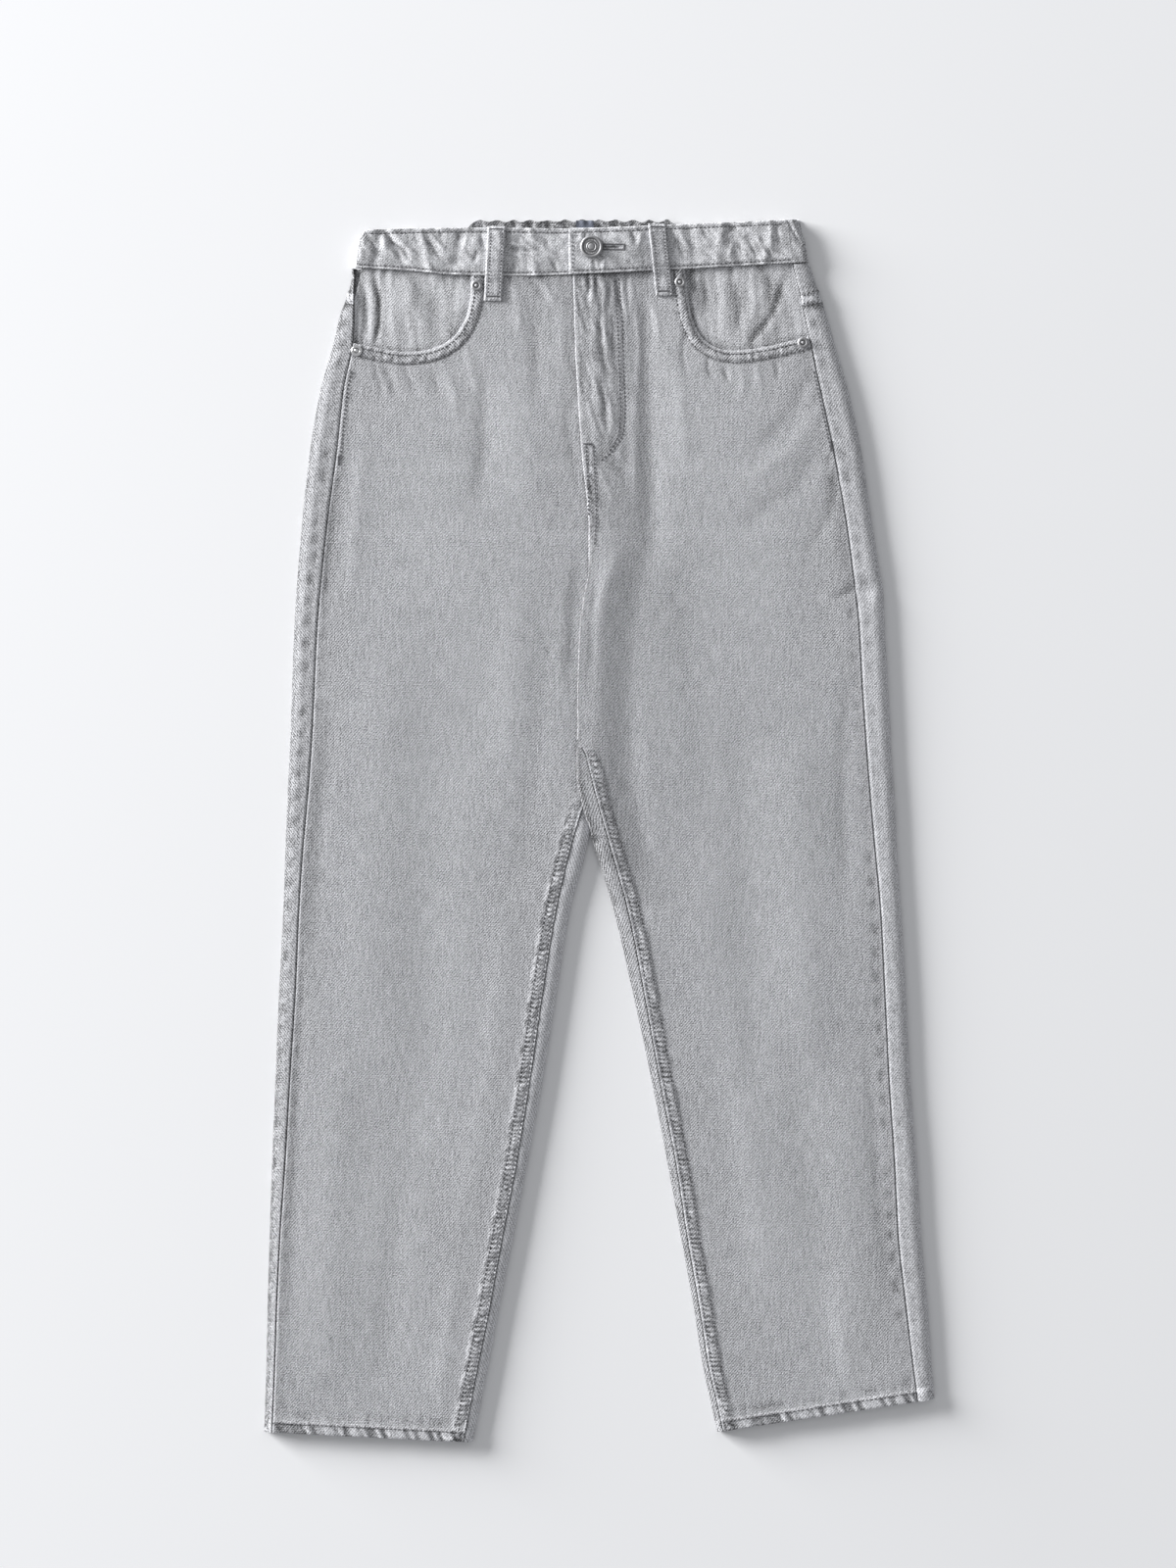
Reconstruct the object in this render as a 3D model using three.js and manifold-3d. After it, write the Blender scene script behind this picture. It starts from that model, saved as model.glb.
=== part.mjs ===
// Baggy five-pocket denim jeans, laid flat with the front up. All sizes are in millimetres.
// X runs to the viewer's right, Y from the hems to the waistband, and Z up from the surface below.
// The origin is the middle of the laid outline, on that surface. Right and left are the wearer's,
// so the right leg lies on the viewer's left, at negative X.
import * as THREE from "three";
import { mergeVertices } from "three/addons/utils/BufferGeometryUtils.js";
import Module from "manifold-3d";

const wasm = await Module();
wasm.setup();

// Cloth and seams
const CLOTH = 1.2; // wall of one layer of denim
const GAP = 0.3; // space kept between two pieces at a seam
const HALF_GAP = GAP / 2;
const LOFT = 6.3; // height of the front's face where the panels lie on each other
const WIDEST = 2.6; // height at which a rounded side is widest
const TOP_RUN = 9; // how far a side's rounding reaches in over the front
const UNDER_RUN = 3; // and in under the back
const HEM_DEPTH = 8; // turned-up hem
const HEM_CLOTH = 0.7; // what its turned layer adds to the wall
const CENTRE = -6; // the seat seam, seen from the front

// Waistband
const BAND_CLOTH = 2.0; // two layers and their stiffening
const BAND_FACE = 7.2; // height of its front face
const BAND_ROUND = 5; // how far the rounding of its ends reaches in
const BAND_MID = 4; // height at which its ends are widest
const BAND_SHARES = [0, 0.5, 1]; // its rows, from the waist seam to its edge
const BAND_COLUMNS = 34;
const BAND_BACK_COLUMNS = 104;
const GATHER_PITCH = 13; // elastic gathers of the back band
const GATHER_DEPTH = 0.9;
const BACK_RISE = 1.5; // the back stands this high on its loops and pockets
const BACK_EDGE = 466.4; // top edge of the back band where it shows above the front band
const BACK_EDGE_FROM = -95;
const BACK_EDGE_TO = 54;

// Front opening
const FLAP_RUN = [12, 45]; // the left front comes down to the right one's level between these
const BAND_LAP_START = -23; // the left band's end
const BAND_LAP = 48; // length of the waistband's lap
const BAND_LAP_RUN = 24; // and of the slope after it
const FOLD_FROM = 66; // along Y, the crotch fold starts here
const FOLD_TO = 197; // and ends here
const FOLD_TURN = 1.3; // how far in its turn reaches
const RETURN_RUN = 9; // width of the fold's hidden under layer

// Fastenings
const BUTTON = { x: -5.8, y: 445.8, radius: 8.5, shank: 3 };
const BUTTONHOLE = { eye: 3.6, slot: 1.6, to: 17.5 };
const RIVET_RADIUS = 4.2;
const RIVETS = {
  rivet_fly_right: { x: -93.5, y: 416.6, half: "right" },
  rivet_side_right: { x: -185.2, y: 366.9, half: "right" },
  rivet_fly_left: { x: 62, y: 419.2, half: "left" },
  rivet_side_left: { x: 155.8, y: 373, half: "left" },
};

// Belt loops
const LOOP_CLOTH = 1.4;
const LOOP_BULGE = 0.9; // how far its middle stands off the band
const LOOP_OVER = 1; // how far it reaches past the band's edge
const FRONT_LOOPS = table("x1 x2 bottom width", [
  [-81, -78.2, 405, 14],
  [50, 44.2, 409, 13.4],
]);
const BACK_LOOP = { width: 13.4, bottom: 409, thick: 1.2 };
const BACK_LOOP_X = {
  loop_side_right: [-152, -148],
  loop_back: [CENTRE, CENTRE],
  loop_side_left: [155, 147],
};

const LABEL = { x: -10.7, width: 13.4, from: 452, to: 466.6, z: 4.55, thick: 0.4 };

// A table with named columns, sorted by its first column.
function table(columns, rows) {
  const names = columns.split(" ");
  const named = rows.map((row) => Object.fromEntries(names.map((name, k) => [name, row[k]])));
  return named.sort((a, b) => a[names[0]] - b[names[0]]);
}

// Sections of each leg from the waist seam to the hem: the height along Y, and where a line across the
// cloth at that height meets the outer side, the outseam, the inseam and the inner side.
// Above the crotch, inseam is the hidden edge of the right front, and inner the edge of the left one.
const RIGHT_LINES = table("y outer outseam inseam inner", [
  [440, -186.5, -185.5, -11, -6.3],
  [431, -187.5, -186.5, -11, -6.3],
  [412, -191.5, -187, -10.5, -6.3],
  [393, -198.5, -187, -10, -6.3],
  [373, -203, -188, -9.5, -6.3],
  [337, -213, -195, -8, -6.3],
  [291, -221, -200, -4.5, -6.3],
  [231, -227.5, -208, 0, -6.3],
  [156, -233, -215, -5.5, -6.3],
  [73, -236, -219, -7.5, -6.3],
  [30, -238, -222, -9.5, -6.3],
  [8, -239, -224, -15.5, -6.3],
  [-20, -240, -226.5, -23.5, -11],
  [-60, -241.5, -229, -32.5, -22],
  [-118, -244.5, -231.5, -42, -31.5],
  [-190, -247.5, -236, -52.5, -43],
  [-252, -250, -239.5, -62.5, -54.5],
  [-310, -252, -243.5, -73.5, -65.5],
  [-365, -253.5, -246, -83.5, -76.5],
  [-410, -254.5, -247.5, -92.5, -85],
  [-470, -256.5, -250, -104, -97],
]);
const LEFT_LINES = table("y outer outseam inseam inner", [
  [440, 158.5, 147, -19.5, -20],
  [431, 161.5, 148.5, -19.5, -20],
  [412, 168, 153, -19.5, -19.5],
  [393, 174.5, 157, -19, -19],
  [373, 180, 161.5, -18.5, -18.5],
  [337, 190.5, 169, -16.5, -16.5],
  [291, 200.5, 179, -13.5, -13.5],
  [231, 209.5, 189.5, -8, -8],
  [197, 215, 194, -8, -8],
  [186, 217, 195.5, -10.5, -10.5],
  [157, 218.5, 198.5, -14.5, -14.5],
  [111, 221, 201, -16.5, -16.5],
  [73, 223, 203.5, -16.5, -16.8],
  [60, 223.5, 204.5, -10.8, -17.5],
  [40, 225, 206, -5.6, -17],
  [17, 226.5, 208, 0.5, -12],
  [-6, 227.5, 210, 7, -5.6],
  [-60, 231, 215, 22, 11],
  [-118, 234.5, 218, 33.5, 24.5],
  [-190, 238, 221.5, 46.5, 40],
  [-252, 243, 225.5, 58.5, 52],
  [-310, 246.5, 228.5, 67.5, 62.5],
  [-365, 251.5, 234.5, 77, 72.5],
  [-410, 254.5, 240, 84, 79.5],
  [-440, 257, 244, 91, 86],
  [-470, 259, 247.5, 97, 92.5],
]);

// Seams that run across the cloth
const WAIST_SEAM = table("x y", [
  [-200, 431],
  [-146, 428],
  [-114, 425],
  [-60, 424],
  [-4, 425.7],
  [42, 428],
  [105, 431.5],
  [160, 434.6],
]);
const BAND_EDGE = table("x y", [
  [-190, 452],
  [-184, 452],
  [-178, 459.3],
  [-84, 460.9],
  [-24, 460.2],
  [19, 461.3],
  [53, 463.1],
  [105, 465.2],
  [150, 467.2],
]);
const YOKE_SEAM = table("x y", [
  [-200, 404],
  [-100, 386],
  [CENTRE, 366],
  [90, 386],
  [180, 406],
]);

// Ends of the waistband: its outline and the side seam that lies on the front
const BAND_RIGHT_END = table("y outer outseam", [
  [424, -187.5, -186.5],
  [452, -183.5, -182],
  [460, -179, -177.5],
]);
const BAND_LEFT_END = table("y outer outseam", [
  [434, 160.3, 148],
  [450, 157.5, 146],
  [467, 151, 143.8],
]);

// The largest soft folds of the front: a line from one point to another, half its width, and its rise
const FOLDS = table("x1 y1 x2 y2 half rise", [
  [36, 404, 41, 205, 15, -0.8],
  [-60, 330, -48, 240, 22, 0.5],
  [150, 60, 160, -160, 26, 0.6],
  [110, 80, 118, -200, 24, -0.6],
  [-160, 120, -178, -140, 30, 0.5],
  [-120, 60, -140, -240, 26, -0.5],
  [-200, -180, -208, -420, 22, 0.5],
  [185, -200, 200, -400, 22, 0.4],
  [216, 190, 196, 180, 9, -0.8],
]);

// Creases of the waistband's front: where each meets the bottom and top edge, half its width, its rise
const BAND_CREASES = table("bottom top half rise", [
  [-172, -166, 5, -0.8],
  [-147, -163, 5, -1.0],
  [-128, -136, 5, 0.7],
  [-112, -104, 5, -0.7],
  [-66, -60, 5, -0.6],
  [-48, -52, 5, 0.6],
  [74, 68, 5, -0.6],
  [90, 94, 5, 0.6],
  [108, 100, 5, -0.8],
  [126, 132, 5, 0.7],
]);

// Front pockets: the scooped edge from the waist seam to the outseam
const POCKETS = {
  right: {
    top: [-98, 440],
    start: [-98, 425],
    bend: [-96, 385, -112, 366.5, -146, 366],
    end: [-160, 366, -172, 370, -196, 374.5],
    side: [-196, 440],
  },
  left: {
    top: [66, 440],
    start: [66, 427],
    bend: [69.5, 400, 68, 367, 105, 367],
    end: [125, 368.5, 138, 372, 170, 380.5],
    side: [170, 440],
  },
};
const FACING_LAP = 8; // how far a pocket facing runs on under the scooped edge
const FACING_INSET = 6; // how far it stays from the rounded side of the hip

// Back patch pockets, hidden under the jeans: plain five-sided patches
const BACK_POCKET = { width: 124, taper: 7, top: 340, corner: 228, tip: 208, centre: 92, cloth: 1.2 };
const POCKET_MARGIN = 3;
const POCKET_SLOPE = 6;

const HALVES = {
  right: { lines: RIGHT_LINES, out: -1, hemY: -463, hemSlope: -0.049, hemX: -175, wrapFrom: 30 },
  left: { lines: LEFT_LINES, out: 1, hemY: -446.5, hemSlope: 0.152, hemX: 173, wrapFrom: FOLD_FROM },
};

const COLOURS = {
  denim: { color: 0xaaaaae, roughness: 0.92, metalness: 0 },
  facing: { color: 0xb4b3b7, roughness: 0.92, metalness: 0 },
  metal: { color: 0x8f9092, roughness: 0.35, metalness: 1 },
  label: { color: 0x7f8894, roughness: 0.8, metalness: 0 },
};

const clamp = THREE.MathUtils.clamp;
const lerp = THREE.MathUtils.lerp;
const smoothstep = THREE.MathUtils.smoothstep;

// A column of a table at any value of its first column, on a smooth curve through its rows.
function read(rows, along, column, value) {
  const last = rows.length - 1;
  if (value <= rows[0][along]) return rows[0][column];
  if (value >= rows[last][along]) return rows[last][column];
  let k = 0;
  while (rows[k + 1][along] < value) k += 1;
  const slope = (a, b) => (rows[b][column] - rows[a][column]) / (rows[b][along] - rows[a][along]);
  const span = rows[k + 1][along] - rows[k][along];
  const t = (value - rows[k][along]) / span;
  const middle = slope(k, k + 1);
  const from = k > 0 ? steady(slope(k - 1, k), middle) : middle;
  const to = k + 1 < last ? steady(middle, slope(k + 1, k + 2)) : middle;
  const t2 = t * t;
  const t3 = t2 * t;
  return (
    rows[k][column] * (2 * t3 - 3 * t2 + 1) +
    from * span * (t3 - 2 * t2 + t) +
    rows[k + 1][column] * (3 * t2 - 2 * t3) +
    to * span * (t3 - t2)
  );
}

// The slope at a row between two spans: none at a peak, so that the curve never overshoots.
function steady(before, after) {
  return before * after <= 0 ? 0 : (2 * before * after) / (before + after);
}

const line = (half, column, y) => read(half.lines, "y", column, y);
const waistSeam = (x) => read(WAIST_SEAM, "x", "y", x);
const bandEdge = (x) => read(BAND_EDGE, "x", "y", x);
const yokeSeam = (x) => read(YOKE_SEAM, "x", "y", x);

// Where a row across the cloth, a function of X, meets a line that is given along Y.
function crossing(lineAt, row, guess) {
  let x = guess;
  for (let step = 0; step < 6; step += 1) x = lineAt(row(x));
  return x;
}

// From 0 at a rounded side to 1 where the rounding ends.
function rounding(distance, run) {
  const t = 1 - clamp(distance / run, 0, 1);
  return Math.sqrt(Math.max(0, 1 - t * t));
}

// How far the left front stands above the right one, near the fly and the crotch fold.
function flapLift(x, y) {
  const single = CLOTH + GAP;
  const folded = 2 * CLOTH + 2 * GAP;
  const top = y > 0 ? lerp(folded, single, smoothstep(y, 190, 232)) : folded * smoothstep(y, -60, -6);
  const reach = x - line(HALVES.left, "inner", Math.max(y, -60));
  return top * (1 - smoothstep(reach, FLAP_RUN[0], FLAP_RUN[1]));
}

// Soft folds: each is a bell across its line, fading towards its two ends.
function folds(x, y) {
  let rise = 0;
  for (const fold of FOLDS) {
    const dx = fold.x2 - fold.x1;
    const dy = fold.y2 - fold.y1;
    const length = Math.hypot(dx, dy);
    const along = ((x - fold.x1) * dx + (y - fold.y1) * dy) / length;
    const across = ((x - fold.x1) * dy - (y - fold.y1) * dx) / length;
    const fade = smoothstep(along, -fold.half, fold.half) * smoothstep(length - along, -fold.half, fold.half);
    rise += fold.rise * fade * Math.exp(-((across / fold.half) ** 2) * 2);
  }
  return rise;
}

// How much higher the cloth lies on the turned-up hem.
function hemRise(half, x, y) {
  const edge = half.hemY + half.hemSlope * (x - half.hemX);
  return HEM_CLOTH * (1 - smoothstep(y - edge, HEM_DEPTH, HEM_DEPTH + 1));
}

// Height of the front's outer face.
function face(half, x, y) {
  const outer = rounding(Math.abs(x - line(half, "outer", y)), TOP_RUN);
  let inner = 1;
  if (half.out < 0 || y < half.wrapFrom) {
    const wrapped = 1 - smoothstep(y, half.wrapFrom, half.wrapFrom + 14);
    inner = lerp(1, rounding(Math.abs(x - innerSide(half, y)), TOP_RUN), wrapped);
  }
  const lift = half.out > 0 ? flapLift(x, y) : 0;
  const round = half.out > 0 && y > -6 ? outer : outer * inner;
  return WIDEST + (LOFT - WIDEST + folds(x, y) + lift + hemRise(half, x, y)) * round;
}

// The inner side of a leg; at the crotch the left one's wall stops at the seat seam.
function innerSide(half, y) {
  return half.out > 0 ? Math.max(line(half, "inner", y), CENTRE + GAP) : line(half, "inner", y);
}

// How high the back lies over the surface: on the belt loops, and on the patch pockets.
function backRise(half, x, y) {
  const waist = smoothstep(y, 380, 404);
  const away = Math.abs(Math.abs(x - CENTRE) - BACK_POCKET.centre) - BACK_POCKET.width / 2;
  const across = 1 - smoothstep(away, POCKET_MARGIN, POCKET_MARGIN + POCKET_SLOPE);
  const low = BACK_POCKET.tip - POCKET_MARGIN;
  const high = BACK_POCKET.top + POCKET_MARGIN;
  const under = smoothstep(y, low - POCKET_SLOPE, low);
  const over = 1 - smoothstep(y, high, high + POCKET_SLOPE);
  return BACK_RISE * Math.max(waist, across * under * over);
}

// A point of a skin, and the way out of the cloth there, which has no part along Y.
const point = (x, y, z, nx, nz) => ({ at: new THREE.Vector3(x, y, z), out: new THREE.Vector3(nx, 0, nz) });

// Outward directions along a section that runs over the side from the front to the back.
function outward(section, out) {
  return section.map((here, k) => {
    if (here.out.lengthSq() > 0) return here;
    const before = section[Math.max(k - 1, 0)].at;
    const after = section[Math.min(k + 1, section.length - 1)].at;
    const tangent = new THREE.Vector2(after.x - before.x, after.z - before.z).normalize();
    here.out.set(-out * tangent.y, 0, out * tangent.x);
    return here;
  });
}

// The way out of a face that is given as a height over X.
function faceOut(height, x) {
  const step = 0.25;
  const rise = (height(x + step) - height(x - step)) / (2 * step);
  return new THREE.Vector2(-rise, 1).normalize();
}

// Points over a rounded side, from a seam on the front, round the side, to the surface below it.
function sideSection(edge, seam, out, row, height, rise, run) {
  const reach = Math.abs(edge - seam);
  const start = reach >= run ? Math.PI / 2 : Math.acos(1 - reach / run);
  const spare = clamp((reach - run) / run, 0, 1);
  const seamX = seam + out * HALF_GAP;
  const seamOut = faceOut((x) => height(x), seamX);
  const points = [point(seamX, row(seamX), height(seamX), seamOut.x, seamOut.y)];
  for (const share of [0.8 + 0.2 * spare, 0.5, 0.25]) {
    const x = edge - out * run * (1 - Math.cos(start * share));
    points.push(point(x, row(x), height(x), 0, 0));
  }
  points.push(point(edge, row(edge), WIDEST, out, 0));
  const low = edge - out * UNDER_RUN * (1 - Math.SQRT1_2);
  points.push(point(low, row(low), lerp(WIDEST, rise, Math.SQRT1_2), 0, 0));
  const floor = edge - out * UNDER_RUN;
  points.push(point(floor, row(floor), rise, 0, -1));
  return points;
}

// The crotch side of the left leg: up beside the seat seam, out to the fold, and back over it.
function foldSection(half, row, y) {
  const seam = line(half, "inseam", y) - HALF_GAP;
  const fold = line(half, "inner", y);
  const side = innerSide(half, y);
  const plain = outward(
    sideSection(side, Math.max(seam, side + 1), -1, row, (x) => face(half, x, row(x)), 0, TOP_RUN),
    -1,
  );
  const share = clamp((side - fold) / 4, 0, 1);
  if (share === 0) return plain;
  const low = LOFT + GAP;
  const high = low + 2 * CLOTH + GAP;
  const folded = [
    [seam, high],
    [Math.min(fold + FOLD_TURN * 2, seam - 0.6), high],
    [Math.min(fold + FOLD_TURN, seam - 1.2), high],
    [fold, (low + high) / 2],
    [fold + FOLD_TURN, low],
    [side, low],
    [side + 0.6, 0],
  ].map(([x, z]) => point(x, y, z, 0, 0));
  folded[0].out.set(0, 0, 1);
  folded[6].out.set(0, 0, -1);
  const turned = outward(folded, -1);
  return plain.map((from, k) => {
    const x = lerp(from.at.x, turned[k].at.x, share);
    const z = lerp(from.at.z, turned[k].at.z, share);
    const way = from.out.clone().lerp(turned[k].out, share).normalize();
    return point(x, y, z, way.x, way.z);
  });
}

// Rows of a leg from the waist to the hem. A row is a function of X; the last ones lean as the hem does.
function legRows(half, heights, first) {
  const rows = [...first];
  for (const y of heights) {
    const lean = half.hemSlope * smoothstep(-y, 200, 430);
    rows.push((x) => y + lean * (x - half.hemX));
  }
  for (const up of [HEM_DEPTH + 1.5, HEM_DEPTH, 0]) {
    rows.push((x) => half.hemY + up + half.hemSlope * (x - half.hemX));
  }
  return rows;
}

// Cloth between an outer skin and the same points moved in. Cells for which present is false are left out.
function wall(skin, thickness, present = () => true) {
  const rows = skin.length;
  const columns = skin[0].length;
  const positions = [];
  const number = (side, i, j) => side * rows * columns + i * columns + j;
  for (const side of [0, 1]) {
    for (let i = 0; i < rows; i += 1) {
      for (let j = 0; j < columns; j += 1) {
        const { at, out } = skin[i][j];
        const inset = side * thickness(i, j);
        positions.push(at.x - out.x * inset, at.y, at.z - out.z * inset);
      }
    }
  }
  const filled = (i, j) => i >= 0 && j >= 0 && i < rows - 1 && j < columns - 1 && present(i, j);
  const faces = [];
  const quad = (a, b, c, d) => faces.push(a, b, c, a, c, d);
  for (let i = 0; i < rows - 1; i += 1) {
    for (let j = 0; j < columns - 1; j += 1) {
      if (!filled(i, j)) continue;
      quad(number(0, i, j), number(0, i + 1, j), number(0, i + 1, j + 1), number(0, i, j + 1));
      quad(number(1, i, j), number(1, i, j + 1), number(1, i + 1, j + 1), number(1, i + 1, j));
      const rim = (i1, j1, i2, j2) =>
        quad(number(0, i1, j1), number(0, i2, j2), number(1, i2, j2), number(1, i1, j1));
      if (!filled(i - 1, j)) rim(i, j, i, j + 1);
      if (!filled(i + 1, j)) rim(i + 1, j + 1, i + 1, j);
      if (!filled(i, j - 1)) rim(i + 1, j, i, j);
      if (!filled(i, j + 1)) rim(i, j + 1, i + 1, j + 1);
    }
  }
  return closed(positions, faces);
}

// A geometry from points and faces, turned so that its faces point out.
function closed(positions, faces) {
  const used = new Map();
  const kept = [];
  const index = faces.map((k) => {
    if (!used.has(k)) {
      used.set(k, kept.length / 3);
      kept.push(positions[3 * k], positions[3 * k + 1], positions[3 * k + 2]);
    }
    return used.get(k);
  });
  let volume = 0;
  const corner = (k) => new THREE.Vector3(kept[3 * index[k]], kept[3 * index[k] + 1], kept[3 * index[k] + 2]);
  for (let k = 0; k < index.length; k += 3) volume += corner(k).dot(corner(k + 1).cross(corner(k + 2)));
  if (volume < 0) index.reverse();
  const geometry = new THREE.BufferGeometry();
  geometry.setAttribute("position", new THREE.Float32BufferAttribute(kept, 3));
  geometry.setIndex(index);
  return geometry;
}

// The solid of a geometry, for cuts, and the geometry of a solid.
function solid(geometry) {
  const bare = geometry.clone();
  bare.deleteAttribute("normal");
  bare.deleteAttribute("uv");
  const merged = mergeVertices(bare, 1e-4);
  const vertProperties = merged.attributes.position.array;
  const triVerts = Uint32Array.from(merged.index.array);
  return new wasm.Manifold(new wasm.Mesh({ numProp: 3, vertProperties, triVerts }));
}

function geometryOf(cut) {
  const mesh = cut.getMesh();
  const geometry = new THREE.BufferGeometry();
  geometry.setAttribute("position", new THREE.BufferAttribute(Float32Array.from(mesh.vertProperties), 3));
  geometry.setIndex(Array.from(mesh.triVerts));
  return geometry;
}

// A prism of a flat shape, tall enough to cut through all the layers.
function cutter(shape, segments) {
  const prism = new THREE.ExtrudeGeometry(shape, { depth: 40, bevelEnabled: false, curveSegments: segments });
  prism.translate(0, 0, -10);
  return solid(prism);
}

// The opening of a front pocket, made larger by grow for the facing below it.
function pocketShape(pocket, grow, towards) {
  const shape = new THREE.Shape();
  const move = ([x, y]) => [x + towards * grow, y - grow];
  const curve = (v) => [...move([v[0], v[1]]), ...move([v[2], v[3]]), ...move([v[4], v[5]])];
  shape.moveTo(...move([pocket.top[0], pocket.top[1]]));
  shape.lineTo(...move(pocket.start));
  shape.bezierCurveTo(...curve(pocket.bend));
  shape.bezierCurveTo(...curve(pocket.end));
  shape.lineTo(pocket.side[0], pocket.side[1] + grow);
  shape.lineTo(move(pocket.top)[0], pocket.top[1] + grow);
  return shape;
}

// Distances of the front's columns from the outseam, near the seams; the rest are evenly spaced.
const NEAR = [0, 3.5, 9];
const EVEN = 8;

function frontColumns(from, to) {
  const way = Math.sign(to - from);
  const xs = NEAR.map((near) => from + way * near);
  const first = from + way * NEAR[NEAR.length - 1];
  const last = to - way * NEAR[NEAR.length - 1];
  for (let k = 1; k < EVEN; k += 1) xs.push(lerp(first, last, k / EVEN));
  return [...xs, ...[...NEAR].reverse().map((near) => to - way * near)];
}

// Heights of the level rows that the fronts and the backs share, so that their seams match.
const HIGHEST_LEVEL = BACK_POCKET.top + POCKET_MARGIN + POCKET_SLOPE;
const HEIGHTS = [
  HIGHEST_LEVEL,
  BACK_POCKET.top + POCKET_MARGIN,
  315,
  280,
  250,
  228,
  BACK_POCKET.tip - POCKET_MARGIN,
  BACK_POCKET.tip - POCKET_MARGIN - POCKET_SLOPE,
  175,
  140,
  100,
  FOLD_FROM + HALF_GAP,
  FOLD_FROM - HALF_GAP,
  45,
  30,
  16,
  4,
  -6,
  -20,
  -50,
  -95,
  -150,
  -210,
  -270,
  -330,
  -385,
  -425,
];
// Shares of the way down from the waist seam to the first level row, at the hip.
const HIP_SHARES = [0, 0.11, 0.22, 0.35, 0.74];
const YOKE_SHARES = [0, 0.34, 0.67, 1];
const BACK_TOP_SHARE = 0.4;
const YOKE_EASE = 0.4; // the yoke's straight edges stay this much further from the curved waist seam

// Rows of a front panel: the first follow the waist seam down, then level ones, then the leaning hem.
function frontRows(half) {
  const first = HIP_SHARES.map((t) => (x) => lerp(waistSeam(x) - HALF_GAP, HIGHEST_LEVEL, t));
  return legRows(half, HEIGHTS, first);
}

// A skin over the front between two lines, sunk below the face by a depth.
function frontSkin(half, rows, fromLine, toLine, sunk) {
  return rows.map((row) => {
    const from = crossing(fromLine, row, half.hemX);
    const to = crossing(toLine, row, half.hemX);
    return frontColumns(from, to).map((x) => {
      const y = row(x);
      const way = faceOut((at) => face(half, at, row(at)), x);
      return point(x - way.x * sunk, y, face(half, x, y) - way.y * sunk, way.x, way.y);
    });
  });
}

const hemWall = (rows) => (i) => CLOTH + (i >= rows.length - 2 ? HEM_CLOTH : 0);

// A front panel. The left one also has the under layer of the crotch fold, as three more columns.
function frontPanel(half, pocket) {
  const rows = frontRows(half);
  const fromLine = (y) => line(half, "outseam", y) - half.out * HALF_GAP;
  const toLine = (y) => {
    const folded = half.out > 0 && y > FOLD_FROM;
    if (folded) return line(half, "inner", y) + (y < FOLD_TO + 10 ? FOLD_TURN : 0);
    return line(half, "inseam", y) + half.out * HALF_GAP;
  };
  const skin = frontSkin(half, rows, fromLine, toLine, 0);
  let present = () => true;
  if (half.out > 0) {
    const flat = skin[0].length;
    for (const [i, row] of rows.entries()) {
      const end = skin[i][flat - 1].at;
      const low = LOFT + GAP;
      const fold = end.x - FOLD_TURN;
      skin[i].push(point(fold, end.y, (low + end.z) / 2, -1, 0));
      skin[i].push(point(end.x, end.y, low, 0, -1));
      skin[i].push(point(fold + RETURN_RUN, row(fold + RETURN_RUN), low, 0, -1));
    }
    const folded = (i) => {
      const y = rows[i](0);
      const next = rows[i + 1](0);
      return y <= FOLD_TO + 10 && next >= FOLD_FROM;
    };
    present = (i, j) => j < flat - 1 || folded(i);
  }
  const panel = solid(wall(skin, hemWall(rows), present));
  return geometryOf(panel.subtract(cutter(pocketShape(pocket, 0, 0), 12)));
}

// The cloth inside a pocket: the front's own face, moved in below it.
function pocketFacing(half, pocket) {
  const below = (drop) => (x) => waistSeam(x) - HALF_GAP - drop;
  const rows = [0, 12, 26, 40, 54, 68, 80].map(below);
  const fromLine = (y) => {
    const clear = Math.abs(line(half, "outer", y)) - FACING_INSET;
    return half.out * Math.min(Math.abs(line(half, "outseam", y)) - HALF_GAP, clear);
  };
  const toLine = () => pocket.start[0] - half.out * (FACING_LAP + 4);
  const skin = frontSkin(half, rows, fromLine, toLine, CLOTH + GAP);
  const sheet = solid(wall(skin, () => CLOTH));
  return geometryOf(sheet.intersect(cutter(pocketShape(pocket, FACING_LAP, -half.out), 12)));
}

// Columns of the back on the surface, from the outer side to the seat seam or the inner side.
function backColumns(half, from, to, y) {
  const pocket = BACK_POCKET.width / 2;
  const offsets = [pocket + POCKET_MARGIN + POCKET_SLOPE, pocket + POCKET_MARGIN];
  const nearSide = offsets.map((off) => CENTRE + half.out * (BACK_POCKET.centre + off));
  const farSide = offsets.reverse().map((off) => CENTRE + half.out * (BACK_POCKET.centre - off));
  const middle = [1, 2].map((k) => lerp(nearSide[1], farSide[0], k / 3));
  const flat = [...nearSide, ...middle, ...farSide];
  const hold = smoothstep(y, -20, 150);
  return flat.map((x, k) => {
    const even = lerp(from, to, (k + 1) / (flat.length + 1));
    return lerp(even, clamp(x, Math.min(from, to) + 1 + k, Math.max(from, to) - 1 - k), hold);
  });
}

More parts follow.
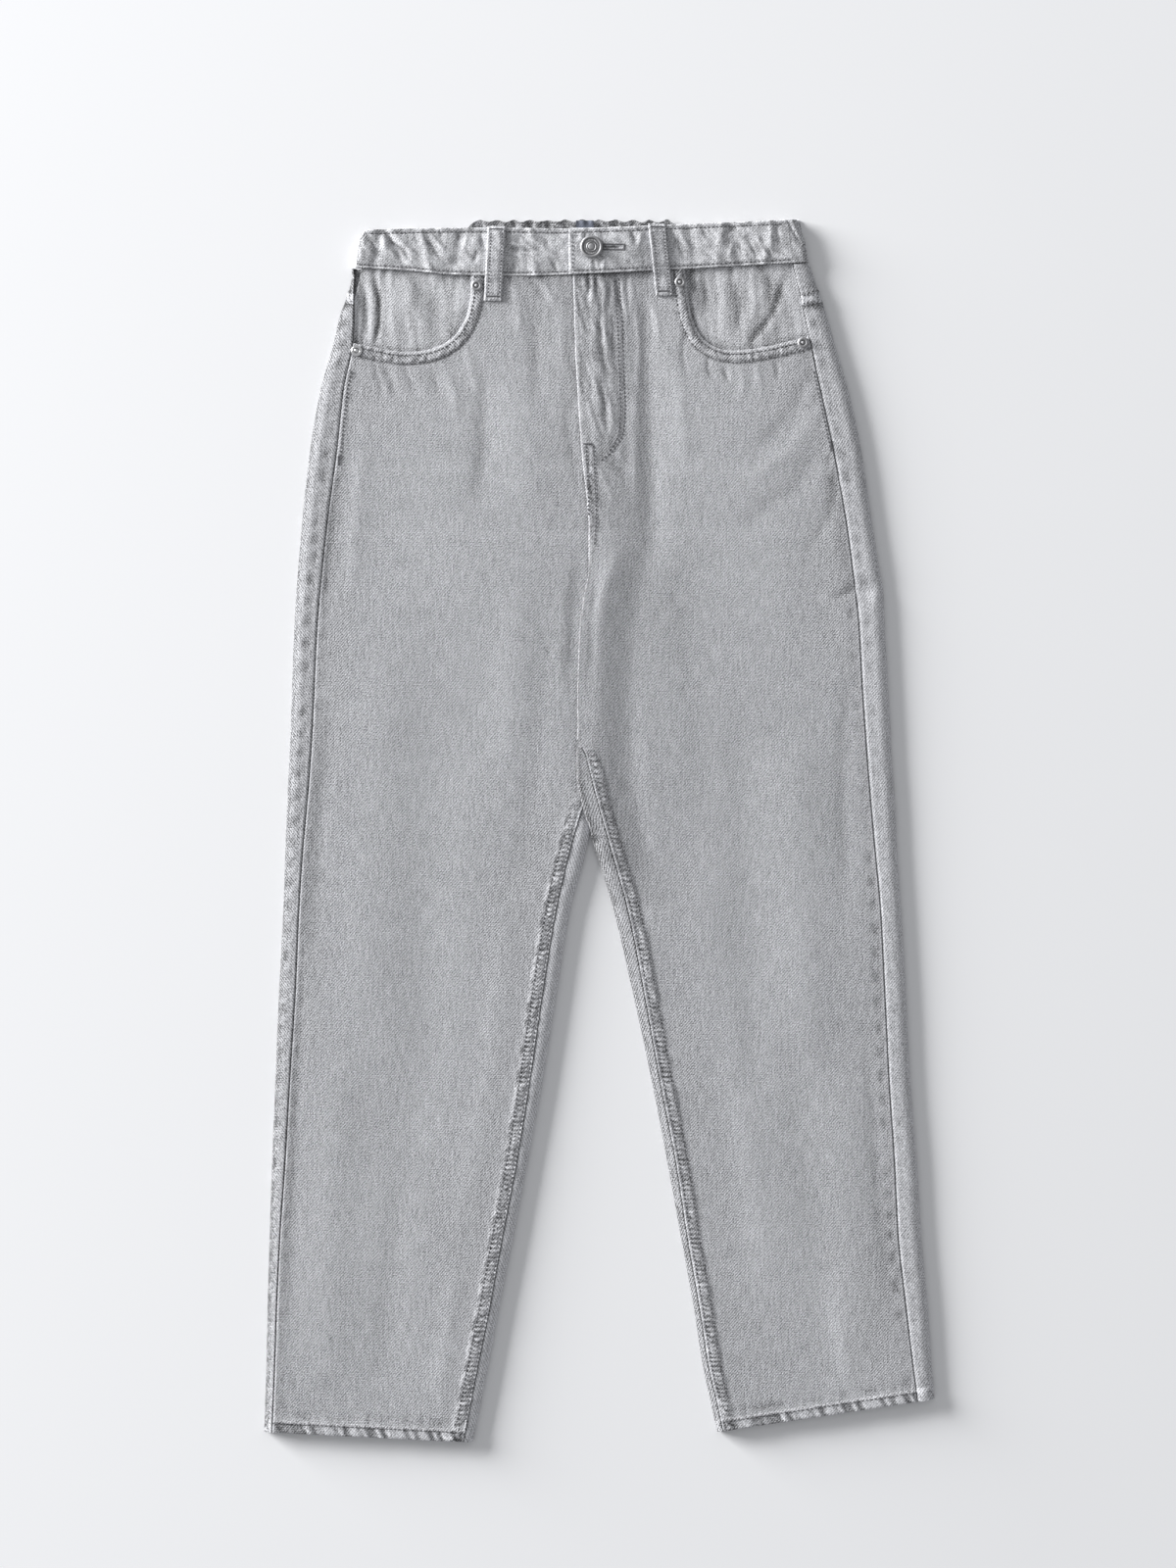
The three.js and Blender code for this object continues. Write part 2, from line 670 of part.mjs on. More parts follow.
// A skin of the back: over the outer side, along the surface, and below the crotch up the inner side.
function backSkin(half, rows) {
  return rows.map((row) => {
    const at = (column) => crossing((y) => line(half, column, y), row, half.hemX);
    const edge = at("outer");
    const height = (x) => face(half, x, row(x));
    const rise = (x) => backRise(half, x, row(x));
    const seam = at("outseam");
    const floorFrom = edge - half.out * UNDER_RUN;
    const outerSide = sideSection(edge, seam, half.out, row, height, rise(floorFrom), TOP_RUN);
    const y = row(edge);
    const inY = row(at("inner"));
    const legs = inY <= half.wrapFrom;
    const innerEdge = crossing((v) => innerSide(half, v), row, half.hemX);
    let innerPart;
    let floorTo;
    if (legs && half.out > 0) {
      innerPart = foldSection(half, row, inY).reverse();
      floorTo = innerPart[0].at.x;
    } else {
      const guessSeam = legs ? at("inseam") : innerEdge + half.out * 4;
      innerPart = sideSection(innerEdge, guessSeam, -half.out, row, height, 0, TOP_RUN).reverse();
      innerPart = outward(innerPart, half.out);
      floorTo = legs ? innerPart[0].at.x : CENTRE + half.out * HALF_GAP;
    }
    if (!legs) {
      innerPart[0].at.set(floorTo, row(floorTo), rise(floorTo));
      innerPart[0].out.set(0, 0, -1);
    }
    const floor = backColumns(half, floorFrom, floorTo, y).map((x) => point(x, row(x), rise(x), 0, -1));
    return [...outward(outerSide, half.out), ...floor, ...innerPart];
  });
}

const SIDE_POINTS = 7;
const BACK_FLAT = 6;

// The back panel of one half, from the yoke seam to the hem.
function backPanel(half) {
  const top = (x) => yokeSeam(x) - HALF_GAP;
  const rows = legRows(half, HEIGHTS, [top, (x) => lerp(HIGHEST_LEVEL, top(x), BACK_TOP_SHARE)]);
  const skin = backSkin(half, rows);
  const flatEnd = SIDE_POINTS + BACK_FLAT;
  const present = (i, j) => j < flatEnd || rows[i](half.hemX / 12) <= half.wrapFrom + 0.01;
  return wall(skin, hemWall(rows), present);
}

// The yoke of one half, between the back panel and the waistband.
function yoke(half) {
  const top = (x) => waistSeam(x) - HALF_GAP - YOKE_EASE;
  const rows = YOKE_SHARES.map((t) => (x) => lerp(top(x), yokeSeam(x) + HALF_GAP, t));
  const skin = backSkin(half, rows).map((row) => row.slice(0, SIDE_POINTS + BACK_FLAT + 1));
  return wall(skin, () => CLOTH);
}

// Height of the waistband's front face, with its creases and its lap at the button.
function bandFace(end, x, y) {
  const t = clamp((y - waistSeam(x)) / (bandEdge(x) - waistSeam(x)), 0, 1);
  let rise = 0;
  for (const crease of BAND_CREASES) {
    const across = (x - lerp(crease.bottom, crease.top, t)) / crease.half;
    rise += crease.rise * Math.exp(-across * across * 2);
  }
  const lapTo = BAND_LAP_START + BAND_LAP;
  const lap = end === "left" ? 1 - smoothstep(x, lapTo, lapTo + BAND_LAP_RUN) : 0;
  const rightEdge = read(BAND_RIGHT_END, "y", "outer", y);
  const leftEdge = read(BAND_LEFT_END, "y", "outer", y);
  const round = rounding(x - rightEdge, BAND_ROUND) * rounding(leftEdge - x, BAND_ROUND);
  return BAND_MID + (BAND_FACE - BAND_MID + rise + lap * (BAND_CLOTH + GAP)) * round;
}

const bandRow = (t) => (x) => lerp(waistSeam(x) + HALF_GAP, bandEdge(x), t);

// The front of the waistband on one side, from its side seam to the opening.
function bandFront(end) {
  const ends = end === "right" ? BAND_RIGHT_END : BAND_LEFT_END;
  const inwards = end === "right" ? 1 : -1;
  const rows = BAND_SHARES.map(bandRow);
  const skin = rows.map((row) => {
    const from = crossing((y) => read(ends, "y", "outseam", y), row, -100 * inwards) + inwards * HALF_GAP;
    const to = end === "right" ? BAND_LAP_START + BAND_LAP : BAND_LAP_START;
    const xs = [];
    for (let k = 0; k <= BAND_COLUMNS; k += 1) xs.push(lerp(from, to, k / BAND_COLUMNS));
    xs.splice(1, 0, lerp(xs[0], xs[1], 0.4));
    return xs.map((x) => {
      const way = faceOut((at) => bandFace(end, at, row(at)), x);
      return point(x, row(x), bandFace(end, x, row(x)), way.x, way.y);
    });
  });
  return wall(skin, () => BAND_CLOTH);
}

// A keyhole buttonhole, cut through the band that laps over.
function buttonholeShape() {
  const { x, y } = BUTTON;
  const { eye, slot, to } = BUTTONHOLE;
  const open = Math.asin(slot / 2 / eye);
  const shape = new THREE.Shape();
  shape.absarc(x, y, eye, open, -open, false);
  shape.lineTo(to, y - slot / 2);
  shape.lineTo(to, y + slot / 2);
  return shape;
}

// The back of the waistband, gathered by elastic, whose ends come round to the front.
function bandBack() {
  const gather = (x) => (GATHER_DEPTH / 2) * (1 - Math.cos((2 * Math.PI * x) / GATHER_PITCH));
  const scallop = (x) => BACK_EDGE + GATHER_DEPTH * Math.cos((2 * Math.PI * x) / GATHER_PITCH);
  const begins = (x) => smoothstep(x, BACK_EDGE_FROM - 6, BACK_EDGE_FROM);
  const ended = (x) => smoothstep(x, BACK_EDGE_TO, BACK_EDGE_TO + 6);
  const edge = (x) => lerp(bandEdge(x), scallop(x), begins(x) * (1 - ended(x)));
  const skin = BAND_SHARES.map((t) => {
    const row = (x) => lerp(waistSeam(x) + HALF_GAP, edge(x), t);
    const side = (ends, out, end) => {
      const at = (column) => crossing((y) => read(ends, "y", column, y), row, out * 150);
      const height = (x) => bandFace(end, x, row(x));
      return sideSection(at("outer"), at("outseam"), out, row, height, BACK_RISE, BAND_ROUND);
    };
    const first = outward(side(BAND_RIGHT_END, -1, "right"), -1);
    const last = outward(side(BAND_LEFT_END, 1, "left"), 1).reverse();
    const from = first[first.length - 1].at.x;
    const to = last[0].at.x;
    const floor = [];
    for (let k = 1; k < BAND_BACK_COLUMNS; k += 1) {
      const x = lerp(from, to, k / BAND_BACK_COLUMNS);
      const fade = smoothstep(Math.min(x - from, to - x), 2, 14);
      floor.push(point(x, row(x), BACK_RISE + gather(x) * fade, 0, -1));
    }
    return [...first, ...floor, ...last];
  });
  return wall(skin, () => BAND_CLOTH - 0.2);
}

// A front belt loop, from its own points over the panel and the waistband, moved out.
function frontLoop(half, end, loop) {
  const seam = waistSeam(loop.x1);
  const edge = bandEdge(loop.x2);
  const heights = [loop.bottom, loop.bottom + 8, seam - 4.5, seam - 0.5, seam + 4, seam + 12, seam + 24];
  const skin = [...heights, edge, edge + LOOP_OVER].map((y) => {
    const share = (y - loop.bottom) / (edge - loop.bottom);
    const middle = lerp(loop.x1, loop.x2, share);
    const up = clamp((y - seam) / (edge - seam), 0, 1);
    return [-0.5, -0.17, 0.17, 0.5].map((across) => {
      const x = middle + across * loop.width;
      const below = face(half, x, Math.min(y, seam - HALF_GAP));
      const base = lerp(below, bandFace(end, x, y), smoothstep(y, seam - 5, seam - 1));
      const z = base + GAP + LOOP_CLOTH + LOOP_BULGE * Math.sin(Math.PI * up);
      return point(x, y, z, 0, 1);
    });
  });
  return wall(skin, () => LOOP_CLOTH);
}

// A belt loop on the back, flat on the surface under the waistband.
function backLoop([low, high]) {
  const { width, bottom, thick } = BACK_LOOP;
  const skin = [bottom, waistSeam(low), bandEdge(high)].map((y) => {
    const middle = lerp(low, high, (y - bottom) / (bandEdge(high) - bottom));
    return [-0.5, 0.5].map((across) => point(middle + across * width, y, 0, 0, -1));
  });
  return wall(skin, () => thick);
}

// A plain patch pocket on the back, flat on the surface.
function backPocket(half) {
  const { width, top, corner, tip, centre, cloth } = BACK_POCKET;
  const middle = CENTRE + half.out * centre;
  const shape = new THREE.Shape();
  shape.moveTo(middle - width / 2, top);
  shape.lineTo(middle - width / 2 + BACK_POCKET.taper, corner);
  shape.lineTo(middle, tip);
  shape.lineTo(middle + width / 2 - BACK_POCKET.taper, corner);
  shape.lineTo(middle + width / 2, top);
  return new THREE.ExtrudeGeometry(shape, { depth: cloth, bevelEnabled: false });
}

// A turned metal piece from its profile of radius and height, standing on Z.
function turned(profile, segments) {
  const points = profile.map(([radius, z]) => new THREE.Vector2(radius, z));
  const lathe = new THREE.LatheGeometry(points, segments);
  lathe.rotateX(Math.PI / 2);
  return lathe;
}

// The shank button: its shank stands on the right band, in the buttonhole of the left one.
function button() {
  const { radius, shank } = BUTTON;
  const foot = BAND_FACE + GAP;
  const cap = BAND_FACE + BAND_CLOTH + 2 * GAP;
  return turned(
    [
      [0, foot],
      [shank, foot],
      [shank, cap],
      [radius - 0.6, cap],
      [radius, cap + 0.6],
      [radius, cap + 1.4],
      [radius - 0.9, cap + 2.1],
      [radius - 2, cap + 2],
      [radius - 2.4, cap + 1.5],
      [radius - 4.6, cap + 1.7],
      [radius - 5.2, cap + 2.3],
      [0, cap + 2.7],
    ],
    20,
  );
}

function rivet() {
  const r = RIVET_RADIUS;
  const profile = [[0, 0], [r, 0], [r, 0.6], [0.76 * r, 1.3], [0.4 * r, 0.9], [0, 1.4]];
  return turned(profile, 12);
}

const parts = new THREE.Group();

function add(name, geometry, finish) {
  geometry.computeVertexNormals();
  const mesh = new THREE.Mesh(geometry, new THREE.MeshStandardMaterial({ ...COLOURS[finish], name: finish }));
  mesh.name = name;
  parts.add(mesh);
  return mesh;
}

for (const [name, half] of Object.entries(HALVES)) {
  add(`front_${name}`, frontPanel(half, POCKETS[name]), "denim");
  add(`back_${name}`, backPanel(half), "denim");
  add(`yoke_${name}`, yoke(half), "denim");
  add(`pocket_facing_${name}`, pocketFacing(half, POCKETS[name]), "facing");
  add(`back_pocket_${name}`, backPocket(half), "denim");
}
add("waistband_front_right", bandFront("right"), "denim");
const lapped = solid(bandFront("left")).subtract(cutter(buttonholeShape(), 16));
add("waistband_front_left", geometryOf(lapped), "denim");
add("waistband_back", bandBack(), "denim");

add("loop_front_right", frontLoop(HALVES.right, "right", FRONT_LOOPS[0]), "denim");
add("loop_front_left", frontLoop(HALVES.left, "left", FRONT_LOOPS[1]), "denim");
for (const [name, ends] of Object.entries(BACK_LOOP_X)) add(name, backLoop(ends), "denim");

const buttonMesh = add("button", button(), "metal");
buttonMesh.position.set(BUTTON.x, BUTTON.y, 0);
for (const [name, { x, y, half }] of Object.entries(RIVETS)) {
  add(name, rivet(), "metal").position.set(x, y, face(HALVES[half], x, y) + GAP);
}

const label = new THREE.BoxGeometry(LABEL.width, LABEL.to - LABEL.from, LABEL.thick);
add("label", label, "label").position.set(LABEL.x, (LABEL.from + LABEL.to) / 2, LABEL.z + LABEL.thick / 2);

export default parts;
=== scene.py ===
"""Looks of baggy grey denim jeans, laid flat with the front up.

Sizes are in millimetres, as in the part's source, and meshes are made in metres. X runs to the viewer's
right, Y from the hems to the waistband, Z up. Right and left are the wearer's, so the right leg is at
negative X. Every cloth piece is a closed wall on the form of its solid, with creases placed one by one.
"""
import math
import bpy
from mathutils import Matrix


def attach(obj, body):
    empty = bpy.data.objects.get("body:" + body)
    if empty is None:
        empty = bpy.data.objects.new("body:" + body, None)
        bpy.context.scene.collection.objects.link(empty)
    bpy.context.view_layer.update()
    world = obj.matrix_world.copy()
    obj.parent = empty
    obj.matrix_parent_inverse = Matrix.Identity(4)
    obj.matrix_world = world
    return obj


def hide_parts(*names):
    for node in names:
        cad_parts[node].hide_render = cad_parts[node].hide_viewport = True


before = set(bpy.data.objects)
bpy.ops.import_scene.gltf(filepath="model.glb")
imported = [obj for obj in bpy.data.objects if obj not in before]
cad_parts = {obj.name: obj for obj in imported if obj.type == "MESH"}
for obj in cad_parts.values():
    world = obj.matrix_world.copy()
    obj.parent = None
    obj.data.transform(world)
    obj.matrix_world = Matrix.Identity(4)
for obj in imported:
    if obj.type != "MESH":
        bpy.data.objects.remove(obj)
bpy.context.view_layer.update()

from types import SimpleNamespace

import bpy
import numpy as np
from mathutils import Vector

MM = 0.001

# Cloth and seams, as in the part
CLOTH = 1.2
HALF_GAP = 0.15
GAP = 0.3
LOFT = 6.3
WIDEST = 2.6
TOP_RUN = 9
UNDER_RUN = 3
HEM_DEPTH = 8
HEM_CLOTH = 0.7
CENTRE = -6
BAND_CLOTH = 2.0
BAND_FACE = 7.2
BAND_ROUND = 5
BAND_MID = 4
GATHER_PITCH = 13
GATHER_DEPTH = 0.9
BACK_RISE = 1.5
BACK_EDGE = 466.4
BACK_EDGE_RUN = (-95, 54)
FLAP_RUN = (12, 45)
FLAP_FOOT = (-60, -6)
BAND_LAP = (-23, 25)
BAND_LAP_RUN = 24
FOLD_RUN = (66, 197)
FOLD_TURN = 1.3
RETURN_RUN = 9
HIP_END = 349
LEVEL_END = -425
YOKE_EASE = 0.4
FACING_LAP = 8
FACING_INSET = 6
FACING_DEPTH = 82
BUTTON = (-5.8, 445.8)
BUTTON_RADIUS = 8.5
RIVET_RADIUS = 4.2
HOLE_EYE = 3.6
HOLE_SLOT = 0.8
HOLE_END = 17.5
LOOP_CLOTH = 1.4
LOOP_BULGE = 0.9
BUTTON_CAP = BAND_FACE + BAND_CLOTH + 2 * GAP
POCKET = SimpleNamespace(
    width=124, taper=7, top=340, corner=228, tip=208, centre=92, cloth=1.2, margin=3, slope=6,
)

# Rows of: y, outer side, outseam, inseam, inner side
RIGHT_LINES = [
    (440, -186.5, -185.5, -11, -6.3), (431, -187.5, -186.5, -11, -6.3), (412, -191.5, -187, -10.5, -6.3),
    (393, -198.5, -187, -10, -6.3), (373, -203, -188, -9.5, -6.3), (337, -213, -195, -8, -6.3),
    (291, -221, -200, -4.5, -6.3), (231, -227.5, -208, 0, -6.3), (156, -233, -215, -5.5, -6.3),
    (73, -236, -219, -7.5, -6.3), (30, -238, -222, -9.5, -6.3), (8, -239, -224, -15.5, -6.3),
    (-20, -240, -226.5, -23.5, -11), (-60, -241.5, -229, -32.5, -22), (-118, -244.5, -231.5, -42, -31.5),
    (-190, -247.5, -236, -52.5, -43), (-252, -250, -239.5, -62.5, -54.5),
    (-310, -252, -243.5, -73.5, -65.5), (-365, -253.5, -246, -83.5, -76.5),
    (-410, -254.5, -247.5, -92.5, -85), (-470, -256.5, -250, -104, -97),
]
LEFT_LINES = [
    (440, 158.5, 147, -19.5, -20), (431, 161.5, 148.5, -19.5, -20), (412, 168, 153, -19.5, -19.5),
    (393, 174.5, 157, -19, -19), (373, 180, 161.5, -18.5, -18.5), (337, 190.5, 169, -16.5, -16.5),
    (291, 200.5, 179, -13.5, -13.5), (231, 209.5, 189.5, -8, -8), (197, 215, 194, -8, -8),
    (186, 217, 195.5, -10.5, -10.5), (157, 218.5, 198.5, -14.5, -14.5), (111, 221, 201, -16.5, -16.5),
    (73, 223, 203.5, -16.5, -16.8), (60, 223.5, 204.5, -10.8, -17.5), (40, 225, 206, -5.6, -17),
    (17, 226.5, 208, 0.5, -12), (-6, 227.5, 210, 7, -5.6), (-60, 231, 215, 22, 11),
    (-118, 234.5, 218, 33.5, 24.5), (-190, 238, 221.5, 46.5, 40), (-252, 243, 225.5, 58.5, 52),
    (-310, 246.5, 228.5, 67.5, 62.5), (-365, 251.5, 234.5, 77, 72.5), (-410, 254.5, 240, 84, 79.5),
    (-440, 257, 244, 91, 86), (-470, 259, 247.5, 97, 92.5),
]

# Seams across: x, y
WAIST_SEAM = [
    (-200, 431), (-146, 428), (-114, 425), (-60, 424), (-4, 425.7), (42, 428), (105, 431.5), (160, 434.6),
]
BAND_EDGE = [
    (-190, 452), (-184, 452), (-178, 459.3), (-84, 460.9), (-24, 460.2), (19, 461.3), (53, 463.1),
    (105, 465.2), (150, 467.2),
]
YOKE_SEAM = [(-200, 404), (-100, 386), (CENTRE, 366), (90, 386), (180, 406)]

# Ends of the waistband, rows of: y, outer side, seam with the back
BAND_RIGHT_END = [(424, -187.5, -186.5), (452, -183.5, -182), (460, -179, -177.5)]
BAND_LEFT_END = [(434, 160.3, 148), (450, 157.5, 146), (467, 151, 143.8)]

# The part's largest folds: x1 y1 x2 y2, half width, rise
FOLDS = [
    (36, 404, 41, 205, 15, -0.8), (-60, 330, -48, 240, 22, 0.5), (150, 60, 160, -160, 26, 0.6),
    (110, 80, 118, -200, 24, -0.6), (-160, 120, -178, -140, 30, 0.5), (-120, 60, -140, -240, 26, -0.5),
    (-200, -180, -208, -420, 22, 0.5), (185, -200, 200, -400, 22, 0.4), (216, 190, 196, 180, 9, -0.8),
]

# Soft creases of the waistband: x at the bottom and at the top, half width, rise
BAND_CREASES = [
    (-172, -166, 5, -0.8), (-147, -163, 5, -1.0), (-128, -136, 5, 0.7), (-112, -104, 5, -0.7),
    (-66, -60, 5, -0.6), (-48, -52, 5, 0.6), (74, 68, 5, -0.6), (90, 94, 5, 0.6), (108, 100, 5, -0.8),
    (126, 132, 5, 0.7),
]

# Front pockets: the scooped edge as two Bezier curves
SCOOPS = {
    "right": [
        ((-98, 425), (-96, 385), (-112, 366.5), (-146, 366)),
        ((-146, 366), (-160, 366), (-172, 370), (-196, 374.5)),
    ],
    "left": [
        ((66, 427), (69.5, 400), (68, 367), (105, 367)),
        ((105, 367), (125, 368.5), (138, 372), (170, 380.5)),
    ],
}

# Places of the rivets: x, y
RIVETS = {
    "rivet_fly_right": (-93.5, 416.6), "rivet_side_right": (-185.2, 366.9),
    "rivet_fly_left": (62, 419.2), "rivet_side_left": (155.8, 373),
}

# Belt loops of the front: x at the bottom and at the top, height of the bottom, width
FRONT_LOOPS = {"right": (-81, -78.2, 405, 14), "left": (50, 44.2, 409, 13.4)}

# Belt loops of the back: x at the bottom and at the top
BACK_LOOPS = {"loop_side_right": (-152, -148), "loop_back": (CENTRE, CENTRE), "loop_side_left": (155, 147)}
BACK_LOOP_WIDTH = 13.4
BACK_LOOP_BOTTOM = 409
LABEL_RUN = (-17.4, -4.0)

# Smaller creases of the fronts: half width, rise, and the places x, y along each
CREASES = {
    "right": [
        (3.2, -0.45, -52, 421, -46, 414, -42, 406), (3.0, 0.4, -45, 421, -39, 413, -34, 402),
        (5, 0.35, -66, 420, -62, 404, -60, 380), (6, 0.25, -32, 418, -29, 400, -28, 350),
        (7, -0.4, -50, 405, -48, 370, -46, 330), (9, -0.5, -90, 340, -88, 300, -92, 255),
        (12, 0.12, -72, 350, -70, 310, -72, 250), (5, 0.4, -118, 352, -112, 338, -108, 318),
        (3.5, -0.35, -128, 352, -124, 340, -122, 330), (3.5, -0.4, -150, 356, -144, 344, -140, 334),
        (3.0, -0.45, -165, 356, -158, 342, -156, 332), (2.6, -0.4, -172, 356, -168, 344, -165, 336),
        (5, 0.35, -103, 372, -96, 350, -92, 330), (6, -0.3, -24, 330, -22, 300, -18, 270),
        (7, -0.45, -201, 262, -206, 215, -209, 170), (9, 0.35, -180, 300, -186, 240, -190, 180),
        (7, -0.5, -16, 205, -20, 170, -22, 110), (16, 0.3, -60, 200, -70, 120, -72, 40),
        (14, -0.3, -40, 160, -48, 60, -60, -30), (9, -0.35, -205, 90, -214, 0, -218, -90),
        (15, 0.3, -70, -60, -84, -180, -104, -300), (7, -0.3, -228, -120, -232, -250, -236, -380),
        (14, -0.3, -150, -250, -160, -340, -166, -430), (9, 0.25, -110, -330, -118, -400, -122, -445),
    ],
    "left": [
        (1.6, -0.75, -7.8, 425, -7.6, 416, -8.4, 407), (1.6, -0.6, -2, 425, -1.5, 416, -2.6, 410),
        (1.8, 0.3, -4.6, 424, -4.4, 414, -5.2, 402), (2.2, 0.5, 3, 424, 4, 412, 3.6, 400),
        (1.7, -0.7, 13.2, 424, 15, 404, 18, 398), (2.2, 0.5, 17, 423, 19, 408, 21, 392),
        (2.4, -0.45, 8, 424, 8.5, 412, 7, 396), (2.6, 0.45, 24, 424, 25, 412, 24, 395),
        (2.0, -0.55, 0.6, 402, 1, 385, 3, 360, 6.5, 340), (2.2, 0.4, 4, 402, 4.6, 380, 7, 362),
        (3.2, 0.22, -3, 398, -4, 375, -2, 345, 0, 312), (2.2, -0.45, 10, 400, 11, 378, 12, 355),
        (2.0, -0.5, 2, 345, 4, 330, 5, 305), (2.2, 0.45, 9, 330, 10, 312, 8, 298),
        (1.6, 0.25, 15, 395, 15.5, 370, 16, 335), (3.4, 0.42, 27, 412, 29, 395, 31, 370, 30, 340),
        (8.5, -0.4, 35, 404, 35.4, 380, 36, 345, 38, 300, 41, 215), (6, 0.45, 28, 345, 27, 300, 28, 250),
        (4, 0.4, 40, 404, 44, 390, 46, 372), (3.4, -0.4, 68, 385, 64, 368, 66, 350),
        (2.4, -0.5, 84, 363, 83, 354, 86, 346), (2.0, -0.5, 95, 354, 97.5, 348, 98.5, 344),
        (3.0, 0.35, 108, 355, 110, 345, 110, 335), (2.4, -0.45, 134.5, 360, 136, 352, 136, 346),
        (4, 0.3, 120, 356, 123, 342, 124, 330), (9, 0.4, 60, 350, 62, 320, 66, 280),
        (9, -0.35, 160, 350, 150, 320, 120, 290), (10, -0.35, 172, 300, 150, 262, 110, 236),
        (8, 0.3, 168, 322, 145, 290, 104, 262), (6, -0.35, 184, 280, 176, 240, 160, 215),
        (3.4, -0.3, 10, 282, 14, 276, 22, 272), (4, 0.35, 0, 276, 6, 262, 12, 250),
        (8, 0.35, 14, 210, 4, 186, -4, 150), (5, -0.3, -2, 190, -5, 160, -7, 110),
        (16, -0.3, 60, 200, 70, 100, 80, 0), (12, 0.3, 30, 120, 36, 40, 46, -40),
        (9, -0.35, 190, 120, 186, 40, 188, -60), (16, -0.3, 140, -120, 150, -220, 165, -330),
        (15, 0.3, 100, -120, 112, -240, 130, -360), (7, -0.3, 206, -160, 212, -260, 222, -360),
        (4, -0.5, 202, 190, 192, 183, 180, 178), (10, 0.3, 180, -340, 186, -390, 192, -425),
    ],
}
FACING_FOLDS = {
    "right": [
        (3.2, -1.1, -184, 424, -179, 410, -178, 390, -180, 374),
        (3.0, 0.35, -175, 424, -173, 400, -174, 375),
        (2.6, -1.3, -170.5, 420, -167.5, 405, -168, 388, -171.5, 371),
        (7, 0.5, -160, 422, -157, 400, -156, 372), (8, -0.7, -128, 410, -125, 390, -124, 370),
        (4, -0.4, -140, 424, -137, 414, -132, 404), (6, 0.6, -108, 424, -106, 408, -108, 392),
        (5, 0.4, -146, 420, -144, 400),
    ],
    "left": [
        (4.2, -1.05, 142, 424, 137, 408, 131, 392, 120, 379, 112, 367),
        (5.5, 0.35, 146, 412, 138, 394, 126, 380), (3.4, -0.6, 80, 423, 81.5, 410, 82, 398),
        (4.5, -0.8, 105, 418, 108, 400, 107, 384), (6, 0.6, 92, 425, 95, 405, 94, 380),
        (4.5, -0.8, 129, 427, 130.5, 415, 128, 400), (4.5, 0.6, 117, 424, 119, 404, 116, 388),
        (4, 0.4, 72, 415, 74, 395, 82, 378),
    ],
}
BAND_WRINKLES = [
    (1.6, -0.7, -183.5, 452, -181, 446), (2.0, -1.1, -162.5, 458.5, -158.6, 450, -148.7, 443.6, -145, 437),
    (2.8, 0.6, -166, 455, -163, 446, -153, 438), (2.2, -0.6, -173.4, 450, -168.6, 442.5),
    (2.8, 0.6, -157, 457, -150, 449, -141, 442), (2.2, -0.7, -133.7, 455, -126.2, 445, -121.3, 437),
    (2.6, 0.55, -128, 456, -121, 446, -116, 438), (1.8, -0.6, -121.3, 457.5, -120.2, 453.5),
    (2.0, -0.6, -107.4, 456, -107.4, 450.5), (2.4, 0.5, -101, 455, -103, 445),
    (2.6, -0.8, -90.2, 456, -88, 445), (2.2, -0.6, -92.7, 442.5, -95.4, 435),
    (2.0, -0.9, -70.3, 446.2, -59.1, 443.6, -48.2, 442.5), (2.2, 0.6, -68, 449, -58, 447),
    (2.0, -0.6, -59.1, 455, -51.6, 447.4, -41.7, 441), (2.4, 0.5, -54, 456, -46, 449, -37, 442),
    (2.0, -0.5, -44.4, 455, -38, 447.4), (2.0, -0.6, -35.4, 435, -31.7, 428.7),
    (1.5, -0.9, -21.5, 455, -14.4, 453), (1.6, 0.6, -15, 457, -11, 450), (1.4, -0.5, -9, 458, -13, 450),
    (2.0, -0.7, 24.6, 458, 28.3, 449), (2.2, 0.5, 14, 456, 20, 452, 26, 447),
    (2.0, -0.6, -4, 437, -3, 427), (2.0, 0.5, 4, 437, 3, 427), (2.6, 0.5, 33, 458, 30, 446),
    (2.4, -0.7, 55.3, 458, 63.2, 442.5, 65.8, 436), (2.8, 0.5, 60, 460, 69, 444, 72, 436),
    (2.4, -0.6, 78.6, 460.5, 82.3, 453.8, 87.6, 450), (2.2, -0.6, 96.6, 455.2, 103.3, 460.5),
    (2.4, -0.6, 107.1, 449.2, 109.7, 440), (2.2, -0.7, 113.6, 453, 118.8, 442.5, 121.3, 437),
    (2.8, 0.5, 103, 452, 100, 440), (2.4, 0.5, 120, 455, 126, 444), (2.4, -0.6, 127.8, 445, 132.9, 437),
    (2.2, -0.6, 135.6, 460.5, 138.1, 449), (1.3, -1.1, 143.8, 466.5, 149.5, 456, 157, 444),
    (2.6, 0.5, 131, 458, 132, 446),
]

# Worn lines across the hips: y, half width
WEAR_LINES = [(321, 5), (276, 4), (227, 5)]

# Fly stitching from the waist seam down, and the row of the crotch
FLY_ROW = [
    (14.7, 423), (17.5, 385.5), (18.9, 342.8), (19.8, 322.5), (18.3, 303.8), (14.7, 296.5), (9.7, 289.5),
    (0, 282),
]
CROTCH_ROW = [(-4.7, 295), (-3.2, 264.8), (-2.4, 239.2), (-3.9, 216)]
FLY_TACK = 295.7
OUTSEAM_TACKS = {"right": (286.5, 279), "left": (298.5, 289.5)}

# Distances of double rows of stitches from their seam or edge, and pitches of the bars between them
SEAM_ROWS = (2.2, 8.4)
POCKET_ROWS = (2.7, 9.2)
YOKE_ROWS = (2.4, 8.6)
SEAT_ROWS = (2.0, 7.0)
PATCH_ROWS = (2.5, 8.0)
LOOP_ROW = 2.7
OUTSEAM_ROW = 2.4
HEM_ROW = 7.4
BAND_ROWS = (2.6, 3.2)
FLY_PITCH = (-3.4, -1)
BAND_FELL = 10.3
SEAM_BARS = 3.5
POCKET_BARS = 2.6
STITCH = 3.2

